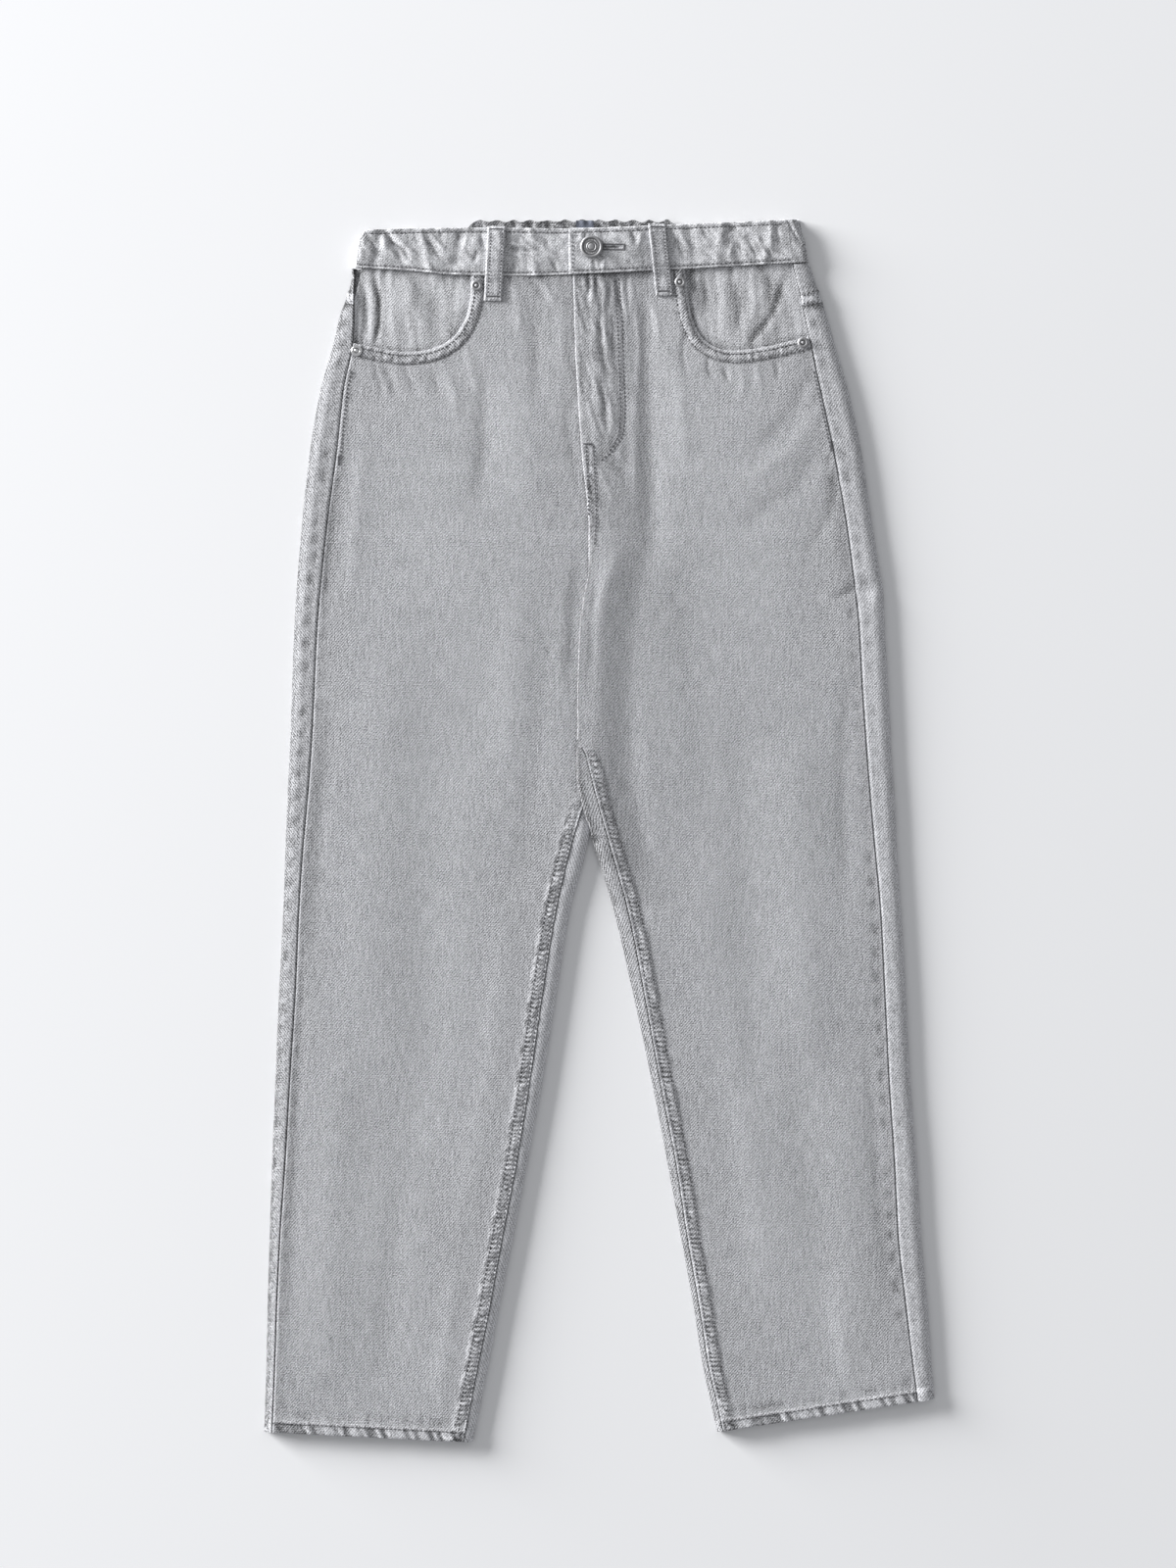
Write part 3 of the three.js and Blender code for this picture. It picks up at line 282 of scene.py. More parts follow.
# A small dark fleck in the weave of the right leg
FLECK = (-204.9, -387.8)

# Steps between rows of the meshes, at the leg and at the hem, and counts of columns
FRONT_STEPS = (1.9, 0.85)
FRONT_COLUMNS = 110
BAND_COLUMNS = 210
GATHER_COLUMNS = 262
BACK_STEPS = (3.0, 1.6)
SIDE_COUNTS = (22, 8)
INNER_COUNTS = (14, 8)
BAND_COUNTS = (12, 8)
FLOOR_COLUMNS = 34
FLOOR_END = sum(SIDE_COUNTS) + FLOOR_COLUMNS

# Light, camera and floor, in metres
KEY_PLACE = (-7.5, 3.6, 1.45)
KEY_SIZE = (4.6, 2.85)
KEY_POWER = 2450
FILL = 0.41
CAMERA_PLACE = (-0.0084, 0.036, 3.0)
LENS = 90
FLOOR_REACH = 6.0
FLOOR_LOW = -0.1 * MM

# Random values behind all that is uneven, in eight layers, and how many of them the stitches use
RANDOM_VALUES = np.random.RandomState(11).rand(8, 101, 97)
DRAWS = 9000


def smoothstep(value, low, high):
    t = np.clip((value - low) / (high - low), 0, 1)
    return t * t * (3 - 2 * t)


def lerp(a, b, t):
    return a + (b - a) * t


def bell(distance, half):
    return np.exp(-2 * (distance / half) ** 2)


def curve(rows, column=1):
    """A smooth function through a column of a table, which never overshoots its rows."""
    rows = sorted(rows)
    xs = np.array([row[0] for row in rows], float)
    ys = np.array([row[column] for row in rows], float)
    spans = np.diff(xs)
    slopes = np.diff(ys) / spans
    before, after = slopes[:-1], slopes[1:]
    total = np.where(before * after > 0, before + after, 1)
    inner = np.where(before * after > 0, 2 * before * after / total, 0)
    turns = np.concatenate([slopes[:1], inner, slopes[-1:]])

    def at(value):
        value = np.clip(value, xs[0], xs[-1])
        k = np.clip(np.searchsorted(xs, value, side="left") - 1, 0, len(spans) - 1)
        t = (value - xs[k]) / spans[k]
        t2, t3 = t * t, t * t * t
        return (
            ys[k] * (2 * t3 - 3 * t2 + 1) + turns[k] * spans[k] * (t3 - 2 * t2 + t)
            + ys[k + 1] * (3 * t2 - 2 * t3) + turns[k + 1] * spans[k] * (t3 - t2)
        )

    return at


def noise(x, y, wide, long, layer=0):
    """Smooth uneven values from 0 to 1 over cells of the given size, the same in each run."""
    field = RANDOM_VALUES[layer]
    u, v = np.asarray(x) / wide, np.asarray(y) / long
    i, j = np.floor(u).astype(int), np.floor(v).astype(int)
    s, t = smoothstep(u - i, 0, 1), smoothstep(v - j, 0, 1)
    rows, columns = field.shape
    pick = lambda a, b: field[a % rows, b % columns]
    return lerp(lerp(pick(i, j), pick(i + 1, j), s), lerp(pick(i, j + 1), pick(i + 1, j + 1), s), t)


def rounding(distance, run):
    t = 1 - np.clip(distance / run, 0, 1)
    return np.sqrt(np.maximum(0, 1 - t * t))


def drop(distance, run):
    """How far a rounded edge falls away: 1 at the edge and 0 a run from it."""
    return 1 - rounding(distance, run)


def fall(value, low, high):
    return 1 - smoothstep(value, low, high)


def fading(distance, run):
    return np.exp(-np.maximum(distance, 0) / run)


def uneven(x, y, wide, long, layer=0):
    """Noise from -0.5 to 0.5."""
    return noise(x, y, wide, long, layer) - 0.5


def shifted(points, across, up=0):
    return [(x + across, y + up) for x, y in points]


waist_seam = curve(WAIST_SEAM)
band_edge = curve(BAND_EDGE)
yoke_seam = curve(YOKE_SEAM)


def make_half(rows, out, hem_y, hem_slope, hem_x, wrap):
    names = ("outer", "outseam", "inseam", "inner")
    lines = {name: curve(rows, k + 1) for k, name in enumerate(names)}
    return SimpleNamespace(out=out, hem_y=hem_y, hem_slope=hem_slope, hem_x=hem_x, wrap=wrap, **lines)


HALVES = {
    "right": make_half(RIGHT_LINES, -1, -463, -0.049, -175, 30),
    "left": make_half(LEFT_LINES, 1, -446.5, 0.152, 173, FOLD_RUN[0]),
}
BAND_ENDS = {
    name: SimpleNamespace(outer=curve(rows, 1), outseam=curve(rows, 2))
    for name, rows in (("right", BAND_RIGHT_END), ("left", BAND_LEFT_END))
}


class Relief:
    """Rise of the cloth in millimetres and its tones, added up from one feature after another.

    Wash and shade lightens or darkens the cloth, as its own washed tone and as painted light and shade, and
    fray is how strongly its fine blotches show. Bars is how strongly the small bars between two rows of
    stitches do, and turns counts them along the rows.
    """

    def __init__(self, rise=0.0, wash=0.0, fray=0.0):
        self.rise, self.wash, self.fray = rise, wash, fray
        self.bars, self.turns = 0.0, 0.0

    def add(self, where, rise=0.0, wash=0.0, fray=0.0):
        self.rise = self.rise + rise * where
        self.wash = self.wash + wash * where
        self.fray = self.fray + fray * where

    def result(self):
        return self.rise, tones_of(self.wash, self.fray, self.bars, self.turns)


def tones_of(wash, fray=0.0, bars=0.0, turns=0.0):
    return np.stack(np.broadcast_arrays(wash, fray, bars, turns), -1)


def crossing(line, row, guess):
    """Where a row across the cloth meets a line that is given along Y."""
    x = guess
    for _ in range(6):
        x = line(row(x))
    return x


def nearest_on(points, x, y):
    """Distance from a line through points, how far along it that place is, on which side the point
    lies, and the line's whole length."""
    best, along, side, run = np.full(x.shape, 1e9), np.zeros(x.shape), np.ones(x.shape), 0
    for a, b in zip(points[:-1], points[1:]):
        step = b - a
        length = math.hypot(*step)
        px, py = x - a[0], y - a[1]
        t = np.clip((px * step[0] + py * step[1]) / length ** 2, 0, 1)
        dx, dy = px - t * step[0], py - t * step[1]
        away = np.hypot(dx, dy)
        closer = away < best
        best = np.where(closer, away, best)
        along = np.where(closer, run + t * length, along)
        side = np.where(closer, np.sign(step[1] * dx - step[0] * dy), side)
        run += length
    return best, along, side, run


def crease(x, y, points, half):
    """1 on a line through the points, fading across it and towards its two ends."""
    points = np.array(points, float)
    x, y = np.broadcast_arrays(x, y)
    low, high = points.min(0) - 2.5 * half, points.max(0) + 2.5 * half
    near = (x > low[0]) & (x < high[0]) & (y > low[1]) & (y < high[1])
    strength = np.zeros(x.shape)
    if near.any():
        best, along, _, run = nearest_on(points, x[near], y[near])
        ends = smoothstep(along, -0.2 * run, 0.3 * run) * smoothstep(run - along, -0.2 * run, 0.3 * run)
        strength[near] = bell(best, half) * ends
    return strength


def creases(x, y, rows):
    """Rise of the creases of a table."""
    return sum(rise * crease(x, y, np.reshape(places, (-1, 2)), half) for half, rise, *places in rows)


def bezier(points, steps=28):
    t = np.linspace(0, 1, steps)[:, None]
    a, b, c, d = (np.array(p, float) for p in points)
    return a * (1 - t) ** 3 + 3 * b * t * (1 - t) ** 2 + 3 * c * t * t * (1 - t) + d * t ** 3


def scoop_line(side):
    first, second = (bezier(points) for points in SCOOPS[side])
    return np.concatenate([first, second[1:]])


SCOOP_LINES = {side: scoop_line(side) for side in SCOOPS}
FLY_ROWS = (FLY_ROW, shifted(FLY_ROW[:-1], *FLY_PITCH))


def scoop_distance(side, x, y):
    """Distance from a pocket's scooped edge: positive in the front panel, negative in the opening."""
    out, points = HALVES[side].out, SCOOP_LINES[side]
    start = points[0][0]
    points = np.concatenate([[(start, 470.0)], points, [points[-1] + np.array([out * 40.0, 8.0])]])
    x, y = np.broadcast_arrays(x, y)
    near = (y > 320) & (out * x > out * start - 45)
    distance = np.full(x.shape, 40.0)
    best, _, turned_to, _ = nearest_on(points, x[near], y[near])
    distance[near] = best * turned_to * out
    return distance


def flap_lift(x, y):
    """How far the fly's flap lifts the left front, and below it the fold of the crotch."""
    single, folded = CLOTH + GAP, 2 * CLOTH + 2 * GAP
    above = lerp(folded, single, smoothstep(y, 190, 232))
    top = np.where(y > 0, above, folded * smoothstep(y, *FLAP_FOOT))
    reach = x - HALVES["left"].inner(np.maximum(y, FLAP_FOOT[0]))
    return top * fall(reach, *FLAP_RUN)


def folds(x, y):
    rise = np.zeros(np.broadcast(x, y).shape)
    for x1, y1, x2, y2, half, height in FOLDS:
        dx, dy = x2 - x1, y2 - y1
        length = math.hypot(dx, dy)
        along = ((x - x1) * dx + (y - y1) * dy) / length
        across = ((x - x1) * dy - (y - y1) * dx) / length
        fade = smoothstep(along, -half, half) * smoothstep(length - along, -half, half)
        rise += height * fade * bell(across, half)
    return rise


def hem_height(half, x, y):
    return y - (half.hem_y + half.hem_slope * (x - half.hem_x))


def inner_side(half, y):
    return np.maximum(half.inner(y), CENTRE + GAP) if half.out > 0 else half.inner(y)


def face(half, x, y):
    """Height of the front's outer face, as the part has it."""
    outer = rounding(np.abs(x - half.outer(y)), TOP_RUN)
    inner = rounding(np.abs(x - inner_side(half, y)), TOP_RUN)
    inner = lerp(1, inner, fall(y, half.wrap, half.wrap + 14))
    lift = 0
    if half.out > 0:
        lift = flap_lift(x, y)
        inner = np.where(y > FLAP_FOOT[1], 1, inner)
    hem = HEM_CLOTH * fall(hem_height(half, x, y), HEM_DEPTH, HEM_DEPTH + 1)
    return WIDEST + (LOFT - WIDEST + folds(x, y) + lift + hem) * outer * inner


def hem_rope(half, x, y):
    """Height over the hem's edge, how much of a rope the cloth is there, and the rope's ridges."""
    height = hem_height(half, x, y)
    roped = fall(height, 6.4, 8.2)
    ridges = smoothstep(noise(x + 0.5 * height, height, 3.6, 30, 3), 0.25, 0.75) - 0.5
    return height, roped, ridges * roped


def rows_near(away, rows, half):
    return sum(bell(away - row, half) for row in rows)


def seam_texture(distance, y, layer):
    """Puckered blotches of a felled seam, from 0 to 1."""
    blotch = noise(y + 0.6 * distance, distance, 5.5, 4.2, layer)
    return smoothstep(blotch, 0.3, 0.75)


def spots(y, pitch, layer):
    """Dark places along a seam, about a pitch apart and uneven in strength."""
    turns = y / pitch + 0.9 * noise(y, 0.5, 3 * pitch, 1, layer)
    strength = smoothstep(noise(y, 0.5, 1.7 * pitch, 1, layer + 1), 0.12, 0.6)
    return smoothstep(0.5 + 0.5 * np.cos(2 * np.pi * turns), 0.3, 0.9) * strength


def mark_outseam(relief, left, y, away):
    """The outseam's edge, the puckers beside it, a painted shadow in the seam's gap, a painted highlight on
    its edge, and a painted shadow band over the hips.
    """
    fewer = 1 - 0.5 * smoothstep(y, -250, 200) if left else 0.45
    shaded = smoothstep(y, 170, 210) * fall(y, 262, 300)
    relief.add(drop(np.abs(away), 0.9), rise=-0.5)
    relief.add(fewer * spots(y, 18, 1) * bell(away - 5, 4.5), rise=-0.35, wash=-0.26, fray=0.5)
    # Painted shadow in the seam's gap, and a painted highlight on the front's rolled edge beside it.
    relief.add(bell(away, 0.5), wash=-0.5)
    relief.add(bell(away - 0.9, 0.9), wash=0.34)
    relief.add(bell(away - 3, 4), fray=0.35)
    relief.add(bell(away - 4, 7), wash=-0.05)
    # Painted shadow band beside the seam over the hips.
    relief.add(shaded * bell(away - 5, 11), wash=-0.14)


def mark_inseam(relief, left, y, away):
    """The felled inseam: a raised band with two rows of stitches and bars between them, with a painted
    shadow in the seam's gap and a painted highlight beside it.
    """
    crotch = fall(y, 56, 70) if left else fall(y, 4, 40)
    felled = crotch * fall(away, BAND_FELL - 0.7, BAND_FELL + 0.6)
    rungs = smoothstep(noise(y + 0.3 * away, away, 2.4, 12), 0.3, 0.7) - 0.5
    relief.add(crotch * fall(away, BAND_FELL - 3, BAND_FELL + 2), rise=0.35)
    relief.add(felled, wash=-0.15, fray=1)
    relief.add(felled * seam_texture(away, y, 2), rise=0.25, wash=0.10)
    relief.add(felled * rungs, rise=0.3, wash=0.26)
    relief.add(felled * rows_near(away, SEAM_ROWS, 1.3), rise=-0.2, wash=-0.10)
    relief.add(crotch * drop(np.abs(away), 0.9), rise=-0.5)
    # Painted shadow in the seam's gap, and a painted highlight on its edge.
    relief.add(crotch * bell(away, 0.5), wash=-0.5)
    relief.add(crotch * bell(away - 1.1, 0.9), wash=0.50)
    relief.add(crotch * bell(away - BAND_FELL, 1.4), wash=-0.06)
    relief.add(crotch * noise(y, 0.2, 4.1, 1, 7) * bell(away - BAND_FELL - 3, 4), wash=0.12)
    relief.bars = 0.42 * felled * bell(away - 5.4, 3.6) * (0.5 + noise(y, 0.6, 9, 1, 2))
    relief.turns = y / SEAM_BARS + 1.4 * noise(y, 0.7, 14, 1, 1)


def mark_hem(relief, half, x, y):
    """The hem, roped between its stitching and its edge."""
    height, roped, ridges = hem_rope(half, x, y)
    relief.add(ridges, rise=0.8, wash=0.62)
    relief.add(roped, wash=-0.04, fray=0.9)
    relief.add(roped * drop(height + 0.3, 1.6), rise=-0.9)
    relief.add(bell(height - 7.6, 1.5), wash=-0.42)
    relief.add(bell(height - 11.5, 3), wash=0.08)
    relief.add(bell(height - 12, 7), fray=0.7)
    relief.add(smoothstep(noise(x, 3, 5.5, 9, 4), 0.45, 0.7) * bell(height - 14, 5), wash=-0.30)


def mark_waist(relief, x, below, free):
    """Short gathers below the waist seam, most of them at the fly, and painted shade just below the seam.
    """
    busy = 0.7 + 0.9 * bell(x - 8, 26)
    relief.add(uneven(x, 0.4, 3.1, 1, 5) * fading(below, 8) * busy * free, rise=1.1, wash=0.80)
    # Painted shade just below the waist seam, under the waistband's edge.
    relief.add(fading(below, 1.3), wash=-0.42)
    relief.add(fading(below, 7), wash=-0.10)
    relief.add(fading(below, 6), fray=0.6)


def mark_fading(relief, half, x, y):
    """Fading along the middle of the leg and over the hips, with faint wear lines across."""
    for level, wide in WEAR_LINES:
        relief.add(bell(y - level, wide), wash=0.05)
    relief.add(smoothstep(y, 150, 330), wash=0.02)
    relief.add(bell(x - half.outer(y), 26), wash=-0.06)
    relief.add(bell(x - (half.inseam(y) + half.outer(y)) / 2, 90), wash=0.05)


def mark_pocket(relief, side, x, y):
    """The pocket's edge: a rounded lip with a painted highlight, two rows of stitches, and bars between
    them.
    """
    away = scoop_distance(side, x, y)
    edge = (away > -2) & (away < 20)
    between = smoothstep(away, 1.6, 3) * fall(away, 8.4, 9.8) * edge
    relief.add(between, rise=0.15, wash=-0.24, fray=0.9)
    relief.add(between * smoothstep(noise(x, y, 2.8, 4.2, 6), 0.3, 0.7), rise=0.4, wash=0.26)
    relief.add(edge * rows_near(away, POCKET_ROWS, 1.2), rise=-0.3, wash=-0.36)
    relief.add(edge * (away < 9), rise=0.2)
    relief.add(edge * drop(np.abs(away), 0.9), rise=-0.6)
    # Painted highlight on the rounded lip.
    relief.add(edge * bell(away - 0.6, 1.1), wash=0.17)
    relief.add(edge * bell(away - 11, 6), fray=0.4)
    relief.add(edge * uneven(x, y, 5, 40, 7) * smoothstep(away, 9, 11) * fall(away, 14, 30), wash=0.12)
    relief.bars = np.where(edge, 0.42 * between, relief.bars)
    relief.turns = np.where(edge, (HALVES[side].out * x - y) / POCKET_BARS, relief.turns)


def mark_fly(relief, x, y, below):
    """The fly's flap: its edge with a painted shadow and a painted highlight, its crumpled cloth, its
    stitching, and the felled seam of the crotch.
    """
    away = x - HALVES["left"].inner(y)
    above = smoothstep(y, 200, 214)
    busy = smoothstep(y, 205, 300) * fall(away, 24, 42) * smoothstep(away, 0, 4)
    relief.add(above * drop(np.abs(away), 0.9), rise=-0.6)
    # Painted shadow at the flap's edge, and a painted highlight on its rolled rim.
    relief.add(above * bell(away, 0.6), wash=-0.25)
    relief.add(above * bell(away - 1.6, 1.0), wash=0.10)
    relief.add(above * bell(away - 2, 4), fray=0.5)
    relief.add(above * bell(away - 3.6, 1.8), wash=-0.12)
    relief.add(busy, wash=-0.04, fray=0.55)
    relief.add(busy * uneven(x + 0.3 * y, y, 3.2, 11, 3), rise=0.5, wash=0.42)
    relief.add(bell(x + 2, 18) * fading(below, 7), wash=-0.2)
    for row in FLY_ROWS:
        relief.add(crease(x, y, row, 1.3), rise=-0.35, wash=-0.12)
    band = crease(x, y, shifted(CROTCH_ROW, -2.6), 5)
    relief.add(band, wash=-0.22, fray=0.8)
    relief.add(band * seam_texture(away, y, 2), rise=0.35)
    relief.add(band * seam_texture(away, y, 4), wash=0.22)
    relief.add(smoothstep(y, 60, 70) * fall(y, 190, 210) * bell(away, 2.2), wash=-0.12)


def mark_beside_flap(relief, x, y):
    """The right front beside the flap that lies on it, with the flap's shadow painted on it, and the fleck
    further down.
    """
    away = HALVES["left"].inner(y) - x
    # Painted shadow of the flap, which lies on this cloth.
    relief.add(bell(away, 2.4) * (y > 0), wash=-0.22)
    relief.add(bell(away - 3, 9) * (y > 0), wash=-0.07)
    relief.add(uneven(x + 0.3 * y, y, 4.5, 13, 4) * bell(away - 3, 9) * smoothstep(y, 200, 300), wash=0.22)
    relief.add(bell(np.hypot(x - FLECK[0], y - FLECK[1]), 1.9), wash=-0.6)


def front_surface(side):
    """The front's face in the part, with its creases and its sewing."""
    half = HALVES[side]
    left = side == "left"

    def surface(x, y):
        below = waist_seam(x) - y
        free = 1 if left else smoothstep(HALVES["left"].inner(y) - x, -1, 2)
        relief = Relief(face(half, x, y))
        # The creases are painted lighter where they rise and darker where they sink: painted light and
        # shade.
        relief.add(creases(x, y, CREASES[side]) * free, rise=1, wash=0.30)
        mark_outseam(relief, left, y, half.out * (half.outseam(y) - x))
        mark_inseam(relief, left, y, half.out * (x - half.inseam(y)))
        mark_hem(relief, half, x, y)
        mark_waist(relief, x, below, free)
        mark_fading(relief, half, x, y)
        mark_pocket(relief, side, x, y)
        if left:
            mark_fly(relief, x, y, below)
        else:
            mark_beside_flap(relief, x, y)
        return relief.result()

    return surface


def facing_surface(side):
    """The cloth inside a pocket's opening, below the front and gathered at the waist seam, with painted
    shade in its folds, under the pocket's edge and under the seam.
    """
    half = HALVES[side]

    def surface(x, y):
        away = scoop_distance(side, x, y)
        clear = smoothstep(-away, -1, 4)
        below = waist_seam(x) - y
        fold = creases(x, y, FACING_FOLDS[side])
        fold = fold * np.where(fold > 0, clear, 0.25 + 0.75 * clear)
        short = uneven(x, 0.4, 4.2, 1, 5) * fading(below, 9)
        relief = Relief(face(half, x, y) - CLOTH - GAP, wash=0.13, fray=0.55)
        # Painted shade in the folds, and painted light on their ridges.
        relief.add(fold, rise=0.62, wash=0.50)
        relief.add(short, rise=0.9 * clear, wash=1.4)
        relief.add(uneven(x + 0.15 * y, y, 4.2, 24, 2), wash=0.72)
        # Painted shadow under the pocket's edge, and a painted highlight on the outseam's edge.
        relief.add(bell(np.minimum(away, 0), 5), wash=-0.42)
        relief.add(bell(half.out * (half.outseam(y) - x) - 0.8, 1.1), wash=0.28)
        # Painted shade under the waist seam.
        relief.add(fading(below, 2.5), wash=-0.14)
        return relief.result()

    return surface


def band_surface(end):
    """The waistband's front: its face in the part, its wrinkles with painted light and shade, and its
    stitched edges.
    """
    left = end == "left"

    def surface(x, y):
        seam, edge = waist_seam(x), band_edge(x)
        low, high = y - seam, edge - y
        ends = rounding(x - BAND_ENDS["right"].outer(y), BAND_ROUND)
        ends = ends * rounding(BAND_ENDS["left"].outer(y) - x, BAND_ROUND)
        free = 1 if left else smoothstep(BAND_LAP[0] - x, -1, 2)
        edged = fading(high, 7) + 0.6 * fading(low, 6)
        ripple = uneven(x + 0.5 * low, y, 4.4, 12, 1)
        ticks = smoothstep(noise(x, y, 2.3, 3.1, 3), 0.35, 0.65)
        relief = Relief(BAND_MID + (BAND_FACE - BAND_MID) * ends, wash=0.16, fray=0.6)
        share = np.clip(low / (edge - seam), 0, 1)
        for bottom, top, half, height in BAND_CREASES:
            relief.add(ends * bell(x - lerp(bottom, top, share), half), rise=height)
        # The wrinkles are painted lighter where they rise and darker where they sink: painted light and
        # shade.
        relief.add(creases(x, y, BAND_WRINKLES) * free, rise=ends, wash=0.24)
        relief.add(ripple * edged, rise=0.75 * ends, wash=0.5)
        relief.add(uneven(x - 0.4 * low, y, 7.5, 9, 2), rise=0.45 * free * ends, wash=0.2)
        relief.add(uneven(x + 0.9 * low, y - 0.3 * x, 4.2, 6, 5), rise=0.5 * free * ends, wash=0.30)
        grooves = bell(low - BAND_ROWS[0], 1.1) + bell(high - BAND_ROWS[1], 1.1)
        relief.add(grooves, rise=-0.3, wash=-0.12 - 0.36 * ticks)
        relief.add(drop(high, 1.1), rise=-0.5)
        relief.add(drop(low, 0.9), rise=-0.4)
        # Painted highlight along the bottom edge, and painted light and shade on the puckers of the top
        # edge.
        relief.add(bell(low - 0.6, 1.0), wash=0.12)
        relief.add(bell(high - 0.6, 1.2), wash=0.9 * ripple - 0.05)
        # Painted shade at the right end, which faces the light.
        relief.add(bell(x - BAND_ENDS["right"].outer(y), 16), wash=-0.35)
        relief.add(fading(high, 6), fray=0.6)
        relief.add(fading(low, 4), fray=0.5)
        if left:
            start = x - BAND_LAP[0]
            reach = np.hypot(x - BUTTON[0], y - BUTTON[1])
            relief.add(ends * fall(x, BAND_LAP[1], BAND_LAP[1] + BAND_LAP_RUN), rise=BAND_CLOTH + GAP)
            relief.add(drop(start, 1.0), rise=-0.6)
            # Painted highlight on the lap's rolled edge, and a painted shadow along the edge.
            relief.add(bell(start - 1.6, 2.4), wash=0.20)
            relief.add(bell(start, 0.7), wash=-0.2)
            # Painted shadow of the button around it.
            relief.add(bell(np.maximum(0, reach - BUTTON_RADIUS), 2.2), wash=-0.22)
        return relief.result()

    return surface


def height_on(surface):
    """The height alone of a surface that gives its tones too."""
    return lambda x, y: surface(x, y)[0]


def placed(name, data):
    obj = bpy.data.objects.new(name, data)
    bpy.context.scene.collection.objects.link(obj)
    return obj


def mesh_of(name, points, faces, material, tones, cloth=None, smooth=50):
    """An object at the origin from points in millimetres, with its tones and cloth coordinates."""
    mesh = bpy.data.meshes.new(name)
    mesh.from_pydata((np.asarray(points) * MM).tolist(), [], faces)
    mesh.update()
    tones = np.asarray(tones, float)
    tones = tones if tones.ndim == 2 else tones_of(tones)
    for column, kind in enumerate(("wash", "fray", "bars", "turns")):
        values = np.ascontiguousarray(tones[:, column], np.float32)
        mesh.attributes.new(kind, "FLOAT", "POINT").data.foreach_set("value", values)
    cloth = np.asarray(points if cloth is None else cloth, np.float32)
    mesh.attributes.new("cloth", "FLOAT_VECTOR", "POINT").data.foreach_set("vector", cloth.ravel())
    mesh.polygons.foreach_set("use_smooth", [True] * len(mesh.polygons))
    mesh.set_sharp_from_angle(angle=math.radians(smooth))
    mesh.materials.append(material)
    return placed(name, mesh)


def cut(x, y, distance):
    """Moves a grid's points that lie next to a cutting line onto it. Sign is -1 in what is cut away."""
    d = distance(x, y)
    step = 0.05
    gx = (distance(x + step, y) - distance(x - step, y)) / (2 * step)
    gy = (distance(x, y + step) - distance(x, y - step)) / (2 * step)
    wide = np.abs(np.gradient(x, axis=1)) + np.abs(np.gradient(x, axis=0))
    high = np.abs(np.gradient(y, axis=0)) + np.abs(np.gradient(y, axis=1))
    size = np.maximum(np.hypot(gx, gy), 1e-6)
    gx, gy = gx / size, gy / size
    near = np.abs(d) < np.minimum(0.5 * (np.abs(gx) * wide + np.abs(gy) * high), 4)
    for _ in range(3):
        x = np.where(near, x - gx * d, x)
        y = np.where(near, y - gy * d, y)
        d = distance(x, y)
    return x, y, np.where(near, 0, np.sign(d))


def grid_faces(sign, present=True):
    """Triangles of a grid, without the cells that are cut away or not present."""
    rows, columns = sign.shape
    number = np.arange(rows * columns).reshape(rows, columns)
    a, b, c, d = number[:-1, :-1], number[1:, :-1], number[1:, 1:], number[:-1, 1:]
    flat = sign.ravel()
    other = ((flat[b] < 0) | (flat[d] < 0))[..., None]
    first = np.where(other, np.stack([a, b, c], -1), np.stack([a, b, d], -1))
    second = np.where(other, np.stack([a, c, d], -1), np.stack([b, c, d], -1))
    whole = lambda t: present & (flat[t] >= 0).all(-1) & (flat[t] > 0).any(-1)
    return np.concatenate([triangles[whole(triangles)] for triangles in (first, second)])


def skin_of(points, tones, cloth=None, sign=None, present=True):
    """A skin from a grid of points: its points, triangles, tones and cloth coordinates."""
    sign = np.ones(points.shape[:2]) if sign is None else sign
    flat = points.reshape(-1, 3)
    cloth = flat.copy() if cloth is None else cloth.reshape(-1, 3)
    return flat, grid_faces(sign, present), tones.reshape(len(flat), -1), cloth


def loops_of(triangles):
    """The closed loops of edges that only one triangle uses."""
    edges = np.concatenate([triangles[:, [0, 1]], triangles[:, [1, 2]], triangles[:, [2, 0]]])
    used = set(map(tuple, edges.tolist()))
    after = {a: b for a, b in used if (b, a) not in used}
    loops = []
    while after:
        start, here = next(iter(after.items()))
        del after[start]
        loop = [start]
        while here != start:
            loop.append(here)
            here = after.pop(here)
        loops.append(loop)
    return sorted(loops, key=len, reverse=True)


def zipper(points, top, low):
    """Triangles between two loops that run the same way, one with more points than the other."""
    start = int(np.argmin(np.linalg.norm(points[low] - points[top[0]], axis=1)))
    low = low[start:] + low[:start]
    faces, i, j = [], 0, 0
    n, m = len(top), len(low)
    spot = points.tolist()
    far = lambda a, b: sum((p - q) ** 2 for p, q in zip(spot[a], spot[b]))
    while i < n or j < m:
        a, b = top[i % n], top[(i + 1) % n]
        p, q = low[j % m], low[(j + 1) % m]
        if j >= m or (i < n and far(b, p) <= far(a, q)):
            faces.append((b, a, p))
            i += 1
        else:
            faces.append((a, p, q))
            j += 1
    return faces


def tidy(points, triangles, *values):
    used = np.unique(triangles)
    place = np.zeros(len(points), int)
    place[used] = np.arange(len(used))
    return (points[used], place[triangles], *(value[used] for value in values))


def volume_of(points, triangles):
    """Six times the volume between a skin and the origin."""
    a, b, c = (points[triangles[:, k]] for k in range(3))
    return np.einsum("ij,ij", a, np.cross(b, c))


